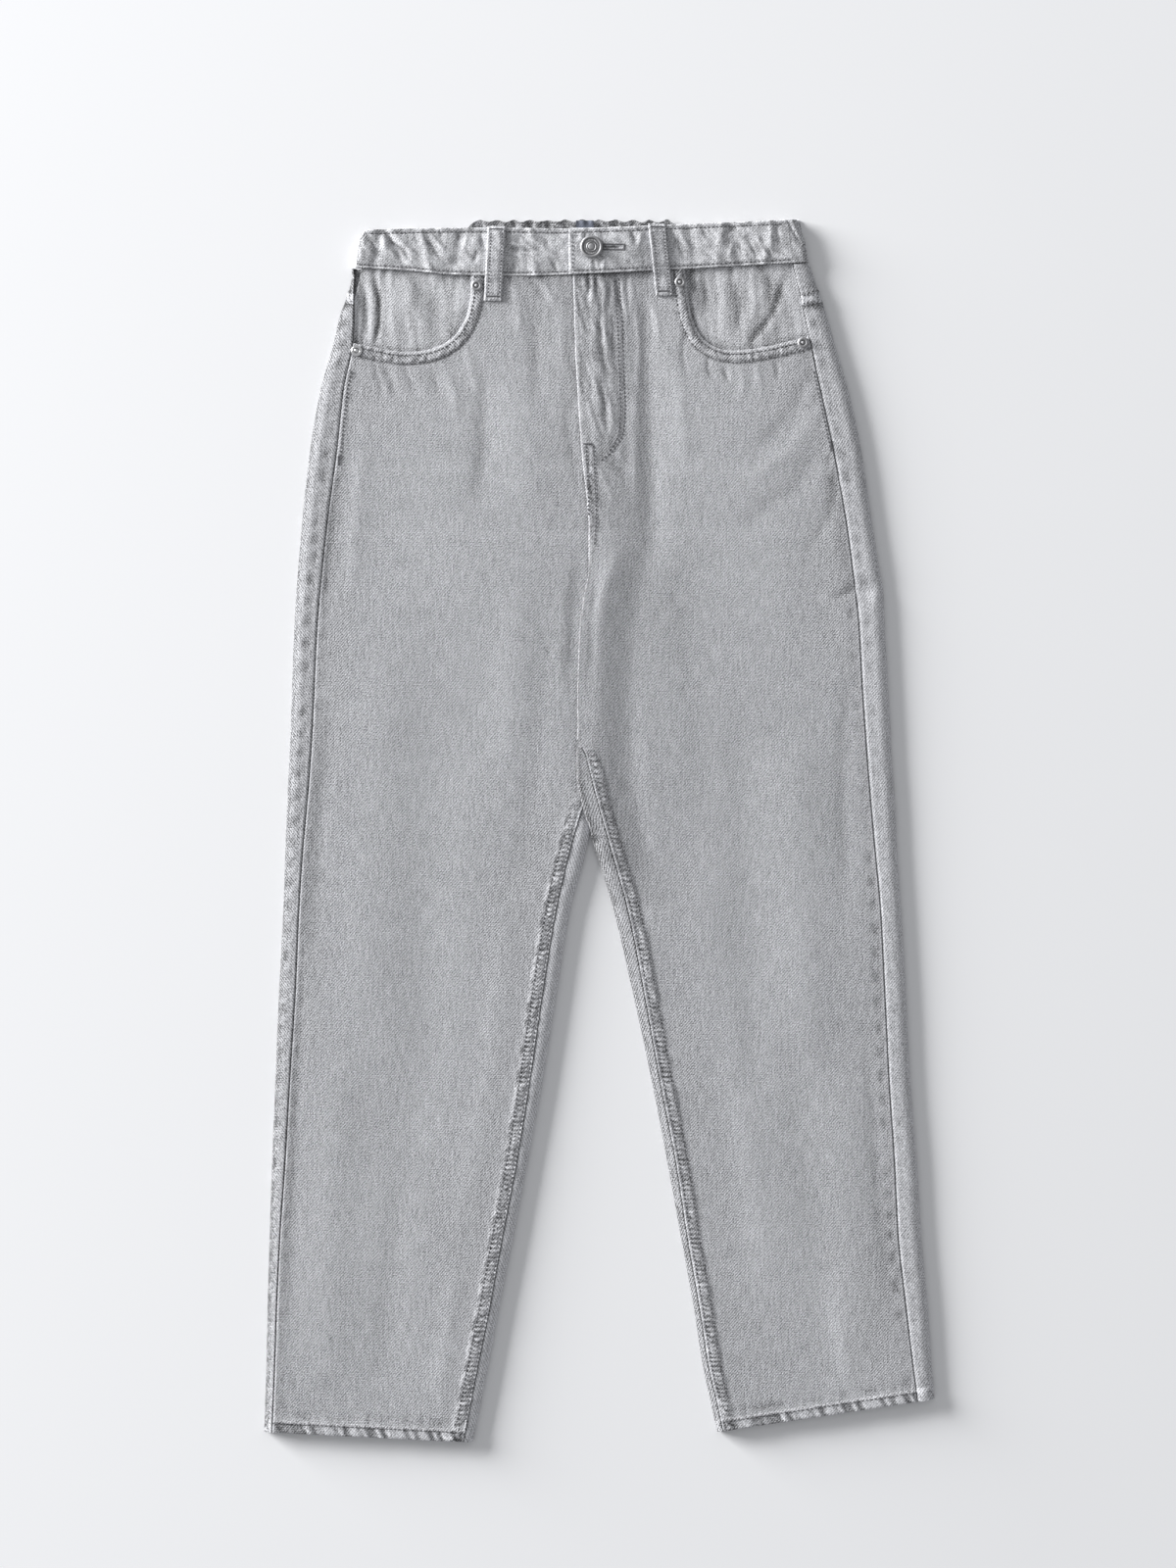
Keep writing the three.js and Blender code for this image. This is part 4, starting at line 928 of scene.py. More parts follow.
def wall(name, material, outer, inner):
    """A closed wall between two skins, each with points, triangles, tones and cloth coordinates."""
    (p1, t1, *looks1), (p2, t2, *looks2) = tidy(*outer), tidy(*inner)
    points = np.concatenate([p1, p2])
    low_loops = [[k + len(p1) for k in loop] for loop in loops_of(t2)]
    faces = t1.tolist() + (t2[:, ::-1] + len(p1)).tolist()
    for top in loops_of(t1):
        middle = points[top].mean(0)
        low = min(low_loops, key=lambda loop: np.linalg.norm(points[loop].mean(0) - middle))
        faces += zipper(points, top, low)
    if volume_of(p1, t1) < volume_of(p2, t2):
        faces = [corners[::-1] for corners in faces]
    tones, cloth = (np.concatenate(pair) for pair in zip(looks1, looks2))
    return mesh_of(name, points, faces, material, tones, cloth)


def face_skin(x, y, surface, sunk, sign):
    """A skin on a surface that is a height over X and Y, sunk below it along its section's normal."""
    z, tones = surface(x, y)
    run = np.gradient(x, axis=1)
    slope = np.gradient(z, axis=1) / np.where(np.abs(run) > 1e-6, run, 1)
    slope = np.clip(slope, -1.2, 1.2) if sunk else slope
    length = np.hypot(slope, 1)
    points = np.stack([x + sunk * slope / length, y, z - sunk / length], -1)
    return skin_of(points, tones, np.stack([x, y, 0 * x], -1), sign)


def every(count, step, extra=()):
    return sorted({*range(0, count, step), count - 1, *(k for k in extra if 0 <= k < count)})


def flat_wall(name, material, x, y, surface, thick, distance=None, coarse=(3, 4)):
    """A wall whose outer skin is a height over a grid, cut along a line where there is one."""
    skins = []
    for sunk in (0, thick):
        if sunk:
            picked = np.ix_(*(every(count, step) for count, step in zip(x.shape, coarse)))
            x, y = x[picked], y[picked]
        cut_x, cut_y, sign = cut(x, y, distance) if distance else (x, y, np.ones(x.shape))
        skins.append(face_skin(cut_x, cut_y, surface, sunk, sign))
    return wall(name, material, *skins)


def offsets(near, first, growth, largest):
    """Distances from an edge that start close together and grow."""
    values, step = [0.0], first
    while values[-1] + step < near:
        values.append(values[-1] + step)
        step = min(step * growth, largest)
    return np.array(values)


def columns_between(start, end, near, count):
    """Columns from one edge to another: close at both edges, and even between."""
    way = math.copysign(1, end - start)
    middle = np.linspace(start + way * near[-1], end - way * near[-1], count + 2)[1:-1]
    return np.concatenate([start + way * near, middle, (end - way * near)[::-1]])


def leaning(level, lean, x0):
    """A row across the cloth as a function of X, at a level where X is x0."""
    return lambda x: level + lean * (x - x0)


def leg_rows(half, steps, top):
    """Rows of a leg, below those given: level ones, then the leaning ones of the hem."""
    level_step, hem_step = steps
    lean_at = lambda y: half.hem_slope * float(smoothstep(-y, 200, 430))
    last = half.hem_y + HEM_DEPTH + 3
    pairs = [(y, lean_at(y)) for y in np.arange(HIP_END, LEVEL_END, -level_step)]
    share = np.linspace(0, 1, 12)
    pairs += zip(lerp(LEVEL_END, last, share), lerp(lean_at(LEVEL_END), half.hem_slope, share))
    ups = [*np.arange(HEM_DEPTH + 3 - hem_step, 0.3, -hem_step), 0]
    pairs += [(half.hem_y + up, half.hem_slope) for up in ups]
    return top + [leaning(level, lean, half.hem_x) for level, lean in pairs]


def between_rows(high, low, shares):
    """Rows at shares of the way from one row to another."""
    return [lambda x, share=share: lerp(high(x), low(x), share) for share in shares]


def heights_of(rows, x):
    return np.array([row(line) for row, line in zip(rows, x)])


def front(side, material):
    half = HALVES[side]
    shares = np.concatenate([[0, 0.008, 0.018], np.linspace(0.03, 1, 52)[:-1]])
    hip = between_rows(lambda x: waist_seam(x) - HALF_GAP, lambda x: HIP_END, shares)
    rows = leg_rows(half, FRONT_STEPS, hip)
    near = offsets(13.5, 0.45, 1.12, 1.0)

    def inner_line(y):
        fly = half.inner(y) + FOLD_TURN * fall(y, 200, 207)
        seam = half.inseam(y) + half.out * HALF_GAP
        return lerp(seam, fly, smoothstep(y, 62, 70) if half.out > 0 else 0)

    xs = []
    for row in rows:
        start = crossing(lambda y: half.outseam(y) - half.out * HALF_GAP, row, half.hem_x)
        xs.append(columns_between(start, crossing(inner_line, row, half.hem_x), near, FRONT_COLUMNS))
    x = np.array(xs)
    distance = lambda a, b: scoop_distance(side, a, b)
    name = f"front_{side}_cloth"
    return flat_wall(name, material, x, heights_of(rows, x), front_surface(side), CLOTH, distance)


def fold_return(material):
    """The under layer of the crotch fold, which turns below the left front, with painted shade on its
    turned edge.
    """
    half = HALVES["left"]
    surface = front_surface("left")
    turn = np.radians(np.linspace(100, -90, 10))
    low = LOFT + GAP
    skins = ([], [])
    for y in np.arange(FOLD_RUN[1] + 8, FOLD_RUN[0] + 2, -2.0):
        edge = float(half.inner(y)) + FOLD_TURN
        high = float(surface(np.array([edge]), np.array([y]))[0][0]) - 0.05
        middle, radius = (high + low) / 2, (high - low) / 2
        for skin, share, sunk in zip(skins, (1, 0.12), (0, 1.1)):
            ends = [edge + RETURN_RUN / 2, edge + RETURN_RUN]
            xs = np.concatenate([edge - FOLD_TURN * share * np.cos(turn), ends])
            zs = np.concatenate([middle + radius * share * np.sin(turn), [low + sunk, low + sunk]])
            skin.append(np.stack([xs, np.full_like(xs, y), zs], -1))
    points = [np.array(skin) for skin in skins]
    rows, columns = points[0].shape[:2]
    # Painted shade on the turned edge, which faces the light, and a little on the rest.
    tones = tones_of(np.tile(np.where(np.arange(columns) < 9, -0.5, -0.1), rows))
    return wall("crotch_fold", material, *(skin_of(grid, tones) for grid in points))


def back_rise(x, y):
    """Height of the underside's panels: up over the pocket and the yoke, which lie below them."""
    away = np.abs(np.abs(x - CENTRE) - POCKET.centre) - POCKET.width / 2
    across = fall(away, POCKET.margin, POCKET.margin + POCKET.slope)
    low, high = POCKET.tip - POCKET.margin, POCKET.top + POCKET.margin
    along = smoothstep(y, low - POCKET.slope, low) * fall(y, high, high + POCKET.slope)
    return BACK_RISE * np.maximum(smoothstep(y, 380, 404), across * along)


def side_section(edge, seam, out, row, height, rise, widest, counts):
    """Points over a rounded side, from a seam on the front to the surface below it."""
    share = np.linspace(1, 0, counts[0])
    x = edge - out * abs(edge - seam) * (1 - np.cos(share * math.pi / 2))
    x[0] = seam + out * HALF_GAP
    z = height(x, row(x))
    z[-1] = widest
    turn = np.linspace(0, math.pi / 2, counts[1] + 1)[1:]
    low_x = edge - out * UNDER_RUN * (1 - np.cos(turn))
    return np.concatenate([x, low_x]), np.concatenate([z, lerp(widest, rise, np.sin(turn))])


def resample(xs, zs, count):
    steps = np.concatenate([[0], np.cumsum(np.hypot(np.diff(xs), np.diff(zs)))])
    at = np.linspace(0, steps[-1], count)
    return np.interp(at, steps, xs), np.interp(at, steps, zs)


def fold_section(half, row, y, height, counts):
    """The crotch side of the left leg: up beside the seat seam, out to the fold, and back over it."""
    seam, fold = float(half.inseam(y)) - HALF_GAP, float(half.inner(y))
    side = float(inner_side(half, y))
    plain = side_section(side, max(seam, side + 1), -1, row, height, 0, WIDEST, counts)
    share = min(max((side - fold) / 4, 0), 1)
    if share == 0:
        return plain
    low = LOFT + GAP
    radius = CLOTH + GAP / 2
    turn = np.radians(np.linspace(90, -90, 9))
    start = min(fold + FOLD_TURN, seam - 1.2)
    xs = np.concatenate([[seam], start - (start - fold) * np.cos(turn), [side, side + 0.3, side + 0.6]])
    zs = np.concatenate([[low + 2 * radius], low + radius + radius * np.sin(turn), [low, low - 0.4, 0]])
    return [lerp(a, b, share) for a, b in zip(plain, resample(xs, zs, sum(counts)))]


def back_row(half, row):
    """A row of the back, over the outer side, along the surface and up the inner side. Below the
    crotch it wraps round the inner side, and above it ends at the seat seam."""
    out = half.out
    at = lambda line: float(crossing(line, row, half.hem_x))
    height = lambda x, y: face(half, x, y)
    rise = lambda x: back_rise(x, row(x))
    edge = at(half.outer)
    floor_from = edge - out * UNDER_RUN
    low = float(rise(floor_from))
    xs, zs = side_section(edge, at(half.outseam), out, row, height, low, WIDEST, SIDE_COUNTS)
    inner_y = float(row(at(half.inner)))
    wraps = inner_y <= half.wrap
    if not wraps:
        ix = np.full(sum(INNER_COUNTS), CENTRE + out * HALF_GAP)
        iz = rise(ix)
    elif out > 0:
        ix, iz = fold_section(half, row, inner_y, height, INNER_COUNTS)
    else:
        ix, iz = side_section(at(half.inner), at(half.inseam), -out, row, height, 0, WIDEST, INNER_COUNTS)
    floor_x = lerp(floor_from, ix[-1], np.linspace(0, 1, FLOOR_COLUMNS + 2)[1:-1])
    x = np.concatenate([xs, floor_x, ix[::-1]])
    return x, row(x), np.concatenate([zs, rise(floor_x), iz[::-1]]), wraps


def back_skin(side, rows, sunk):
    """The back as rows of points, with its tones, its cloth coordinates, and which rows wrap round."""
    half = HALVES[side]
    x, y, z, wraps = (np.array(part) for part in zip(*(back_row(half, row) for row in rows)))
    steps = np.hypot(np.diff(x, axis=1), np.diff(z, axis=1))
    along = np.pad(np.cumsum(steps, axis=1), ((0, 0), (1, 0)))
    rest = np.where(wraps[:, None], along[:, -1:] - along, 99)
    run, climb = np.gradient(x, axis=1), np.gradient(z, axis=1)
    length = np.maximum(np.hypot(run, climb), 1e-6)
    nx, nz = half.out * climb / length, -half.out * run / length
    turn = np.where(nz[:, :1] < 0, -1, 1)
    nx, nz = nx * turn, nz * turn
    rise, tones = back_relief(side, x, y, along, rest, nz)
    flat = ~wraps[:, None] & (np.arange(x.shape[1]) >= FLOOR_END - 1)
    nx, nz = np.where(flat, 0, nx), np.where(flat, -1, nz)
    move = rise - sunk
    points = np.stack([x + nx * move, y, np.maximum(z + nz * move, 0)], -1)
    return points, tones, np.stack([along, y, 0 * y], -1), wraps


def back_relief(side, x, y, along, rest, up):
    """Puckers of the back where it shows beside the outseam, and soft grooves underneath, with painted
    shade on its sides that face the light, painted light on those that face away, and painted shadows in
    the seams' gaps.
    """
    half = HALVES[side]
    showing = smoothstep(up, -0.1, 0.3)
    outer = (along < 60) * 1.0
    inner, shown = 1 - outer, outer * showing
    blotch = spots(y + 0.2 * along, 16.5, 5) * (0.6 + 0.8 * noise(x, y, 3, 3, 1))
    if side == "left":
        blotch = blotch * (0.45 + 0.45 * smoothstep(y, 100, 260))
    _, roped, ridges = hem_rope(half, x, y)
    relief = Relief()
    darker = 0.22 + 0.16 * smoothstep(y, -470, 250)
    relief.add(shown * blotch * bell(along - 7.5, 5), rise=-0.35, wash=-darker)
    relief.add(showing * ridges, rise=0.4, wash=0.5)
    relief.add(outer * drop(along, 0.9), rise=-0.5)
    relief.add(shown * bell(along - 16, 8), wash=0.06)
    if side == "left":
        # Painted shade on the inner side, which faces the light.
        relief.add(inner * (y < 70), wash=-0.07 - 0.55 * bell(x - half.inner(y), 6))
        relief.add(inner * bell(y + 17, 13), wash=-0.24)
        # Painted light on the outer strip, which faces away from the light.
        relief.add(shown, wash=0.27 - 0.13 * smoothstep(y, 180, 300))
    else:
        # Painted shade on the outer side, which faces the light.
        relief.add(outer * bell(x - half.outer(y), 4.5), wash=-0.62)
        relief.add(outer * bell(x - half.outer(y), 12), wash=-0.10)
        # Painted light on the inner strip, which faces away from the light.
        relief.add(inner * showing * (y < 10), wash=0.46)
    # Painted shadow in the gap of each seam, with a lighter line beside it.
    for seam in (along, rest):
        relief.add(bell(seam - 1.8, 1.2), wash=0.12)
        relief.add(bell(seam, 0.9), wash=-0.6)
    relief.add(showing, fray=0.45 + 0.8 * roped + 0.5 * bell(along - 4, 6) * outer)
    band = y - yoke_seam(x)
    yoked = shown * smoothstep(band, -1, 0.5) * fall(band, 10, 11.5)
    relief.add(yoked, rise=0.4, wash=0.14, fray=0.7)
    relief.add(yoked * seam_texture(band, x, 3), rise=0.3, wash=0.2)
    relief.add(shown * (bell(band, 1.2) + 1.5 * bell(band - 9.8, 1.5)), wash=-0.6)
    relief.add(shown * (bell(band + 3, 3) + bell(band - 14, 4)) * (0.4 + blotch), wash=-0.42)
    under = fall(up, -0.6, -0.2)
    relief.add(under * uneven(x, y, 30, 60, 2), wash=0.10)
    relief.add(under * bell(x - CENTRE, 5) * (y > 10), wash=-0.10)
    relief.bars, relief.turns = 0.34 * yoked, x / SEAM_BARS
    return relief.result()


def back_wall(name, side, rows, material, floor_only):
    """A wall of back rows. Floor only leaves out the inner side, as the yokes do."""
    skins = []
    for sunk in (0, CLOTH):
        picked = every(len(rows), 3) if sunk else range(len(rows))
        *grids, wraps = back_skin(side, [rows[k] for k in picked], sunk)
        columns = grids[0].shape[1]
        chosen = np.array(every(columns, 2, (FLOOR_END,)) if sunk else range(columns))
        if floor_only:
            chosen = chosen[chosen <= FLOOR_END]
        present = floor_only | (chosen[:-1] < FLOOR_END) | (wraps[:-1] & wraps[1:])[:, None]
        skins.append(skin_of(*(grid[:, chosen] for grid in grids), present=present))
    return wall(name, material, *skins)


def back(side, material):
    hip = between_rows(lambda x: yoke_seam(x) - HALF_GAP, lambda x: HIP_END, np.linspace(0, 1, 18)[:-1])
    rows = leg_rows(HALVES[side], BACK_STEPS, hip)
    return back_wall(f"back_{side}_cloth", side, rows, material, False)


def yoke(side, material):
    top = lambda x: waist_seam(x) - HALF_GAP - YOKE_EASE
    rows = between_rows(top, lambda x: yoke_seam(x) + HALF_GAP, np.linspace(0, 1, 26))
    return back_wall(f"yoke_{side}_cloth", side, rows, material, True)


def facing(side, material):
    half = HALVES[side]
    depths = np.arange(0, FACING_DEPTH, 1.3)
    rows = [lambda x, down=down: waist_seam(x) - HALF_GAP - down for down in depths]

    def outer_line(y):
        clear = np.abs(half.outer(y)) - FACING_INSET
        return half.out * np.minimum(np.abs(half.outseam(y)) - HALF_GAP, clear)

    end = SCOOPS[side][0][0][0] - half.out * (FACING_LAP + 4)
    x = np.array([np.linspace(float(crossing(outer_line, row, half.hem_x)), end, 110) for row in rows])
    distance = lambda a, b: FACING_LAP - scoop_distance(side, a, b)
    name = f"pocket_facing_{side}_cloth"
    return flat_wall(name, material, x, heights_of(rows, x), facing_surface(side), CLOTH, distance)


def hole_distance(x, y):
    """Distance outside the keyhole of the buttonhole."""
    eye = np.hypot(x - BUTTON[0], y - BUTTON[1]) - HOLE_EYE
    dx = np.abs(x - (BUTTON[0] + HOLE_END) / 2) - (HOLE_END - BUTTON[0]) / 2
    dy = np.abs(y - BUTTON[1]) - HOLE_SLOT
    slot = np.hypot(np.maximum(dx, 0), np.maximum(dy, 0)) + np.minimum(np.maximum(dx, dy), 0)
    return np.minimum(eye, slot)


def band_front(end, material):
    inwards, last = (1, BAND_LAP[1]) if end == "right" else (-1, BAND_LAP[0])
    shares = np.concatenate([[0, 0.015, 0.035], np.linspace(0.06, 0.94, 44), [0.96, 0.98, 0.992, 1]])
    rows = between_rows(lambda x: waist_seam(x) + HALF_GAP, band_edge, shares)
    near = offsets(6, 0.4, 1.1, 0.8)
    firsts = [float(crossing(BAND_ENDS[end].outseam, row, -100.0 * inwards)) for row in rows]
    x = [columns_between(first + inwards * HALF_GAP, last, near, BAND_COLUMNS) for first in firsts]
    x = np.array(x)
    distance = hole_distance if end == "left" else None
    name = f"waistband_front_{end}_cloth"
    return flat_wall(name, material, x, heights_of(rows, x), band_surface(end), BAND_CLOTH, distance)


def gathered_edge(x):
    """The gathered edge of the back waistband, which runs into the front's edge at both ends."""
    scallop = BACK_EDGE + GATHER_DEPTH * np.cos(2 * np.pi * x / GATHER_PITCH)
    scallop = scallop + 1.1 * uneven(x, 0.3, 3.7, 1, 6)
    low, high = BACK_EDGE_RUN
    return lerp(band_edge(x), scallop, smoothstep(x, low - 6, low) * fall(x, high, high + 6))


def gathered_row(row, heights, sunk):
    """A row of the back waistband: its points, sunk below its face, its tone and cloth coordinates."""
    sections = []
    for end, out in (("right", -1), ("left", 1)):
        lines = BAND_ENDS[end].outer, BAND_ENDS[end].outseam
        edge, seam = (float(crossing(line, row, out * 150.0)) for line in lines)
        sections.append(side_section(edge, seam, out, row, heights[end], BACK_RISE, BAND_MID, BAND_COUNTS))
    (rx, rz), (lx, lz) = sections
    floor_x = np.linspace(rx[-1], lx[-1], GATHER_COLUMNS)[1:-1]
    gather = (GATHER_DEPTH / 2) * (1 - np.cos(2 * np.pi * floor_x / GATHER_PITCH))
    fade = smoothstep(np.minimum(floor_x - rx[-1], lx[-1] - floor_x), 2, 14)
    x = np.concatenate([rx, floor_x, lx[::-1]])
    z = np.concatenate([rz, BACK_RISE + gather * fade, lz[::-1]])
    y = row(x)
    run, climb = np.gradient(x), np.gradient(z)
    length = np.maximum(np.hypot(run, climb), 1e-6)
    nx, nz = climb / length, -run / length
    crinkle = 0.8 * uneven(x, y, 2.6, 3.5, 2) * (np.abs(nz) > 0.9) if sunk else 0
    move = -(sunk + crinkle)
    valley = 0.5 - 0.5 * np.cos(4 * np.pi * x / GATHER_PITCH)
    speck = smoothstep(noise(x, y, 1.9, 2.2, 4), 0.45, 0.8)
    tone = -0.66 + 0.7 * speck * valley if sunk else 0.1 * (valley - 0.5)
    points = np.stack([x + nx * move, y, np.maximum(z + nz * move, 0)], -1)
    return points, tone, np.stack([x, y, 0 * x], -1)


def band_back(material):
    """The elastic back of the waistband, gathered, with ends that come round to the front."""
    heights = {end: height_on(band_surface(end)) for end in BAND_ENDS}
    rows = between_rows(lambda x: waist_seam(x) + HALF_GAP, gathered_edge, np.linspace(0, 1, 26))
    skins = []
    for sunk in (0, BAND_CLOTH - 0.2):
        parts = zip(*(gathered_row(row, heights, sunk) for row in rows))
        points, tones, cloth = (np.array(part) for part in parts)
        skins.append(skin_of(points, tones_of(tones, 0.9), cloth))
    return wall("waistband_back_cloth", material, *skins)


def loop_line(low_x, high_x, bottom):
    """The middle of a belt loop as a function of Y, and the height of its upper end."""
    edge = float(band_edge(high_x))
    return lambda y: lerp(low_x, high_x, (y - bottom) / (edge - bottom)), edge


def loop_grid(middle, ys, width, columns):
    """A loop's grid, and how far each point is from its middle."""
    across = np.linspace(-0.5, 0.5, columns) * width
    y, off = np.meshgrid(ys, np.abs(across), indexing="ij")
    return middle(ys)[:, None] + across, y, off


def loop_height(side):
    """Height of a front belt loop, which lies over the waistband and its seam, as a surface."""
    low_x, high_x, bottom, _ = FRONT_LOOPS[side]
    middle, edge = loop_line(low_x, high_x, bottom)
    seam = float(waist_seam(low_x))
    band, plain = height_on(band_surface(side)), height_on(front_surface(side))

    def surface(x, y):
        up = np.clip((y - seam) / (edge - seam), 0, 1)
        low, high = np.minimum(y, seam - 0.3), np.maximum(y, seam)
        below = np.maximum(plain(x, low), plain(middle(y), low))
        over = np.maximum(band(x, high), band(middle(y), high) - 0.3)
        base = lerp(below, over, smoothstep(y, seam - 5, seam - 1))
        return base + GAP + LOOP_CLOTH + LOOP_BULGE * np.sin(np.pi * up)

    return surface


def front_loop(side, material):
    low_x, high_x, bottom, width = FRONT_LOOPS[side]
    middle, edge = loop_line(low_x, high_x, bottom)
    base = loop_height(side)
    x, y, _ = loop_grid(middle, np.linspace(bottom, edge + 1, 62), width, 19)

    def surface(px, py):
        off = np.abs(px - middle(py))
        relief = Relief(base(px, py), wash=0.24, fray=0.5)
        relief.add(drop(width / 2 - off, 1.4), rise=-0.9)
        relief.add(bell(off - width / 2 + LOOP_ROW, 1.1), rise=-0.3, wash=-0.2)
        relief.add(bell(py - bottom - 4.6, 1.2), rise=-0.3, wash=-0.30)
        relief.add(drop(py - bottom + 0.2, 1.2) + drop(edge + 1.2 - py, 1.4), rise=-0.8)
        # Painted shade along the loop's sides.
        relief.add(bell(off - width / 2, 1.2), wash=-0.40)
        relief.add(uneven(px, py, 3, 4, 2), wash=0.16)
        return relief.result()

    return flat_wall(f"loop_front_{side}_cloth", material, x, y, surface, LOOP_CLOTH * 0.8, None, (2, 2))


def slab(name, material, x, y, top, wash):
    """A flat piece on the underside, from the surface up to the height of its top."""
    skins = [skin_of(np.stack([x, y, z], -1), tones_of(wash)) for z in (top, 0 * x)]
    return wall(name, material, *skins)


def back_pocket(side, material):
    down, across = np.meshgrid(np.linspace(0, 1, 46), np.linspace(-1, 1, 41), indexing="ij")
    y = lerp(POCKET.top, lerp(POCKET.tip, POCKET.corner, np.abs(across)), down)
    share = np.minimum((POCKET.top - y) / (POCKET.top - POCKET.corner), 1)
    x = CENTRE + HALVES[side].out * POCKET.centre + across * (POCKET.width / 2 - POCKET.taper * share)
    rim = np.minimum.reduce([(1 - np.abs(across)) * 58, down * 120, (1 - down) * 120])
    top = POCKET.cloth - 0.5 * drop(rim + 0.3, 1.5)
    wash = 0.25 * bell(rim - 0.5, 1.4) - 0.15 * bell(rim - 5, 3) + 0.06 * uneven(x, y, 9, 9, 1)
    return slab(f"back_pocket_{side}_cloth", material, x, y, top, wash)


def back_loop(name, ends, material):
    middle, edge = loop_line(*ends, BACK_LOOP_BOTTOM)
    x, y, off = loop_grid(middle, np.linspace(BACK_LOOP_BOTTOM, edge, 40), BACK_LOOP_WIDTH, 13)
    top = 1.2 - 0.4 * drop(BACK_LOOP_WIDTH / 2 - off + 0.2, 1.2)
    return slab(f"{name}_cloth", material, x, y, top, 0.3 * bell(off - 6, 1) - 0.15 * bell(off - 4, 1.2))


def thread_shape():
    """A stitch of length 1 and half width 1: points and faces of a small flattened bead."""
    rings, ends = 5, ((-0.5, 0, -0.25), (0.5, 0, -0.25))
    turn = [2 * math.pi * k / rings for k in range(rings)]
    sizes = ((-0.34, 0.8), (0, 1), (0.34, 0.8))
    points = [(along, size * math.cos(a), 0.75 * size * math.sin(a)) for along, size in sizes for a in turn]
    faces = []
    for k in range(rings):
        after = (k + 1) % rings
        faces += [(0, 1 + after, 1 + k), (1 + 3 * rings, 1 + 2 * rings + k, 1 + 2 * rings + after)]
        for first in (1, 1 + rings):
            a, b = first + k, first + after
            faces += [(a, b, b + rings), (a, b + rings, a + rings)]
    return np.array([ends[0], *points, ends[1]]), np.array(faces)


def spaced(points, pitch):
    """Starts and ends of stitches along a line, a pitch apart."""
    points = np.array(points, float)
    steps = np.concatenate([[0], np.cumsum(np.hypot(*np.diff(points, axis=0).T))])
    starts = np.arange(max(1, int(steps[-1] / pitch))) * pitch
    at = lambda s: np.stack([np.interp(s, steps, column) for column in points.T], -1)
    return at(starts), at(starts + pitch)


def sewn(name, lines, height, material, thick=0.46, cover=0.72, lift=0.34, down=False):
    """Stitches along lines on a surface, as one mesh. Down puts them under the cloth, facing the floor."""
    base, faces = thread_shape()
    places = [np.concatenate(part) for part in zip(*(spaced(line, pitch) for line, pitch in lines))]
    a, b = (np.column_stack([place, height(*place.T)]) for place in places)
    middle, way = (a + b) / 2, b - a
    length = np.linalg.norm(way, axis=1, keepdims=True)
    side = np.cross([0, 0, 1], way)
    side /= np.linalg.norm(side, axis=1, keepdims=True)
    up = np.cross(way / length, side) * (-1 if down else 1)
    draws = [RANDOM_VALUES[layer].ravel()[np.arange(len(a)) % DRAWS] - 0.5 for layer in (0, 1)]
    reach = way * cover * (1 + 0.25 * draws[0][:, None])
    points = (middle + up * lift)[:, None] + sum(
        base[None, :, k:k + 1] * axis[:, None] for k, axis in enumerate((reach, thick * side, thick * up))
    )
    all_faces = (faces[None] + len(base) * np.arange(len(a))[:, None, None]).reshape(-1, 3)
    if down:
        points[..., 2] = np.maximum(points[..., 2], 0)
        all_faces = all_faces[:, ::-1]
    wash = np.repeat(0.16 * draws[1], len(base))
    return mesh_of(name, points.reshape(-1, 3), all_faces.tolist(), material, wash, smooth=180)


def zigzag(a, b, width, pitch):
    """A dense zigzag of stitches between two points, as separate short lines."""
    a, b = np.array(a, float), np.array(b, float)
    length = math.hypot(*(b - a))
    way = (b - a) / length
    side = np.array([-way[1], way[0]]) * width / 2
    middles = [a + way * (k + 0.5) * pitch for k in range(int(length / pitch))]
    return [([middle - side, middle + side], width) for middle in middles]


def along_x(line, xs, up=0.0):
    return [(x, float(line(x)) + up) for x in xs]


def along_y(line, ys, across=0.0):
    return [(float(line(y)) + across, y) for y in ys]


def offset_line(points, away):
    points = np.array(points, float)
    way = np.gradient(points, axis=0)
    way /= np.linalg.norm(way, axis=1, keepdims=True)
    return points + away * np.stack([-way[:, 1], way[:, 0]], -1)


def front_stitching(side, material):
    half = HALVES[side]
    out = half.out
    inside = [p for p in SCOOP_LINES[side] if out * p[0] < out * float(half.outseam(p[1])) - 1]
    lines = [(offset_line(inside, -out * away), STITCH) for away in POCKET_ROWS]
    ys = np.linspace(40 if side == "left" else -2, half.hem_y + 12, 120)
    lines += [(along_y(half.inseam, ys, out * away), STITCH + 0.2) for away in SEAM_ROWS]
    ends = float(half.outseam(half.hem_y)) - out * 3, float(half.inseam(half.hem_y)) + out * 2
    hem = leaning(half.hem_y + HEM_ROW, half.hem_slope, half.hem_x)
    lines.append((along_x(hem, np.linspace(*ends, 60)), STITCH + 0.1))
    high, low = OUTSEAM_TACKS[side]
    lines.append((along_y(half.outseam, np.linspace(352, low, 40), -out * OUTSEAM_ROW), STITCH))
    tack = float(half.outseam(low)) - out * OUTSEAM_ROW
    lines += zigzag((tack, high), (tack, low), 2.0, 0.7)
    if side == "left":
        lines += [(row, STITCH) for row in (*FLY_ROWS, CROTCH_ROW, shifted(CROTCH_ROW[:-1], -5.6))]
        lines += zigzag((-12.2, FLY_TACK), (-4.9, FLY_TACK), 1.8, 0.7)
    return sewn(f"stitching_front_{side}", lines, height_on(front_surface(side)), material)


def band_stitching(end, material):
    first, last = (-184.5, -24.5) if end == "right" else (-20.5, 146)
    xs = np.linspace(first, last, 90)
    top = xs[(xs > -177) & (xs < 142)]
    low, high = BAND_ROWS
    lines = [(along_x(waist_seam, xs, low), STITCH), (along_x(band_edge, top, -high), STITCH)]
    if end == "left":
        lines.append(([(-20.6, 429), (-20.6, 457)], STITCH))
    return sewn(f"stitching_band_{end}", lines, height_on(band_surface(end)), material)


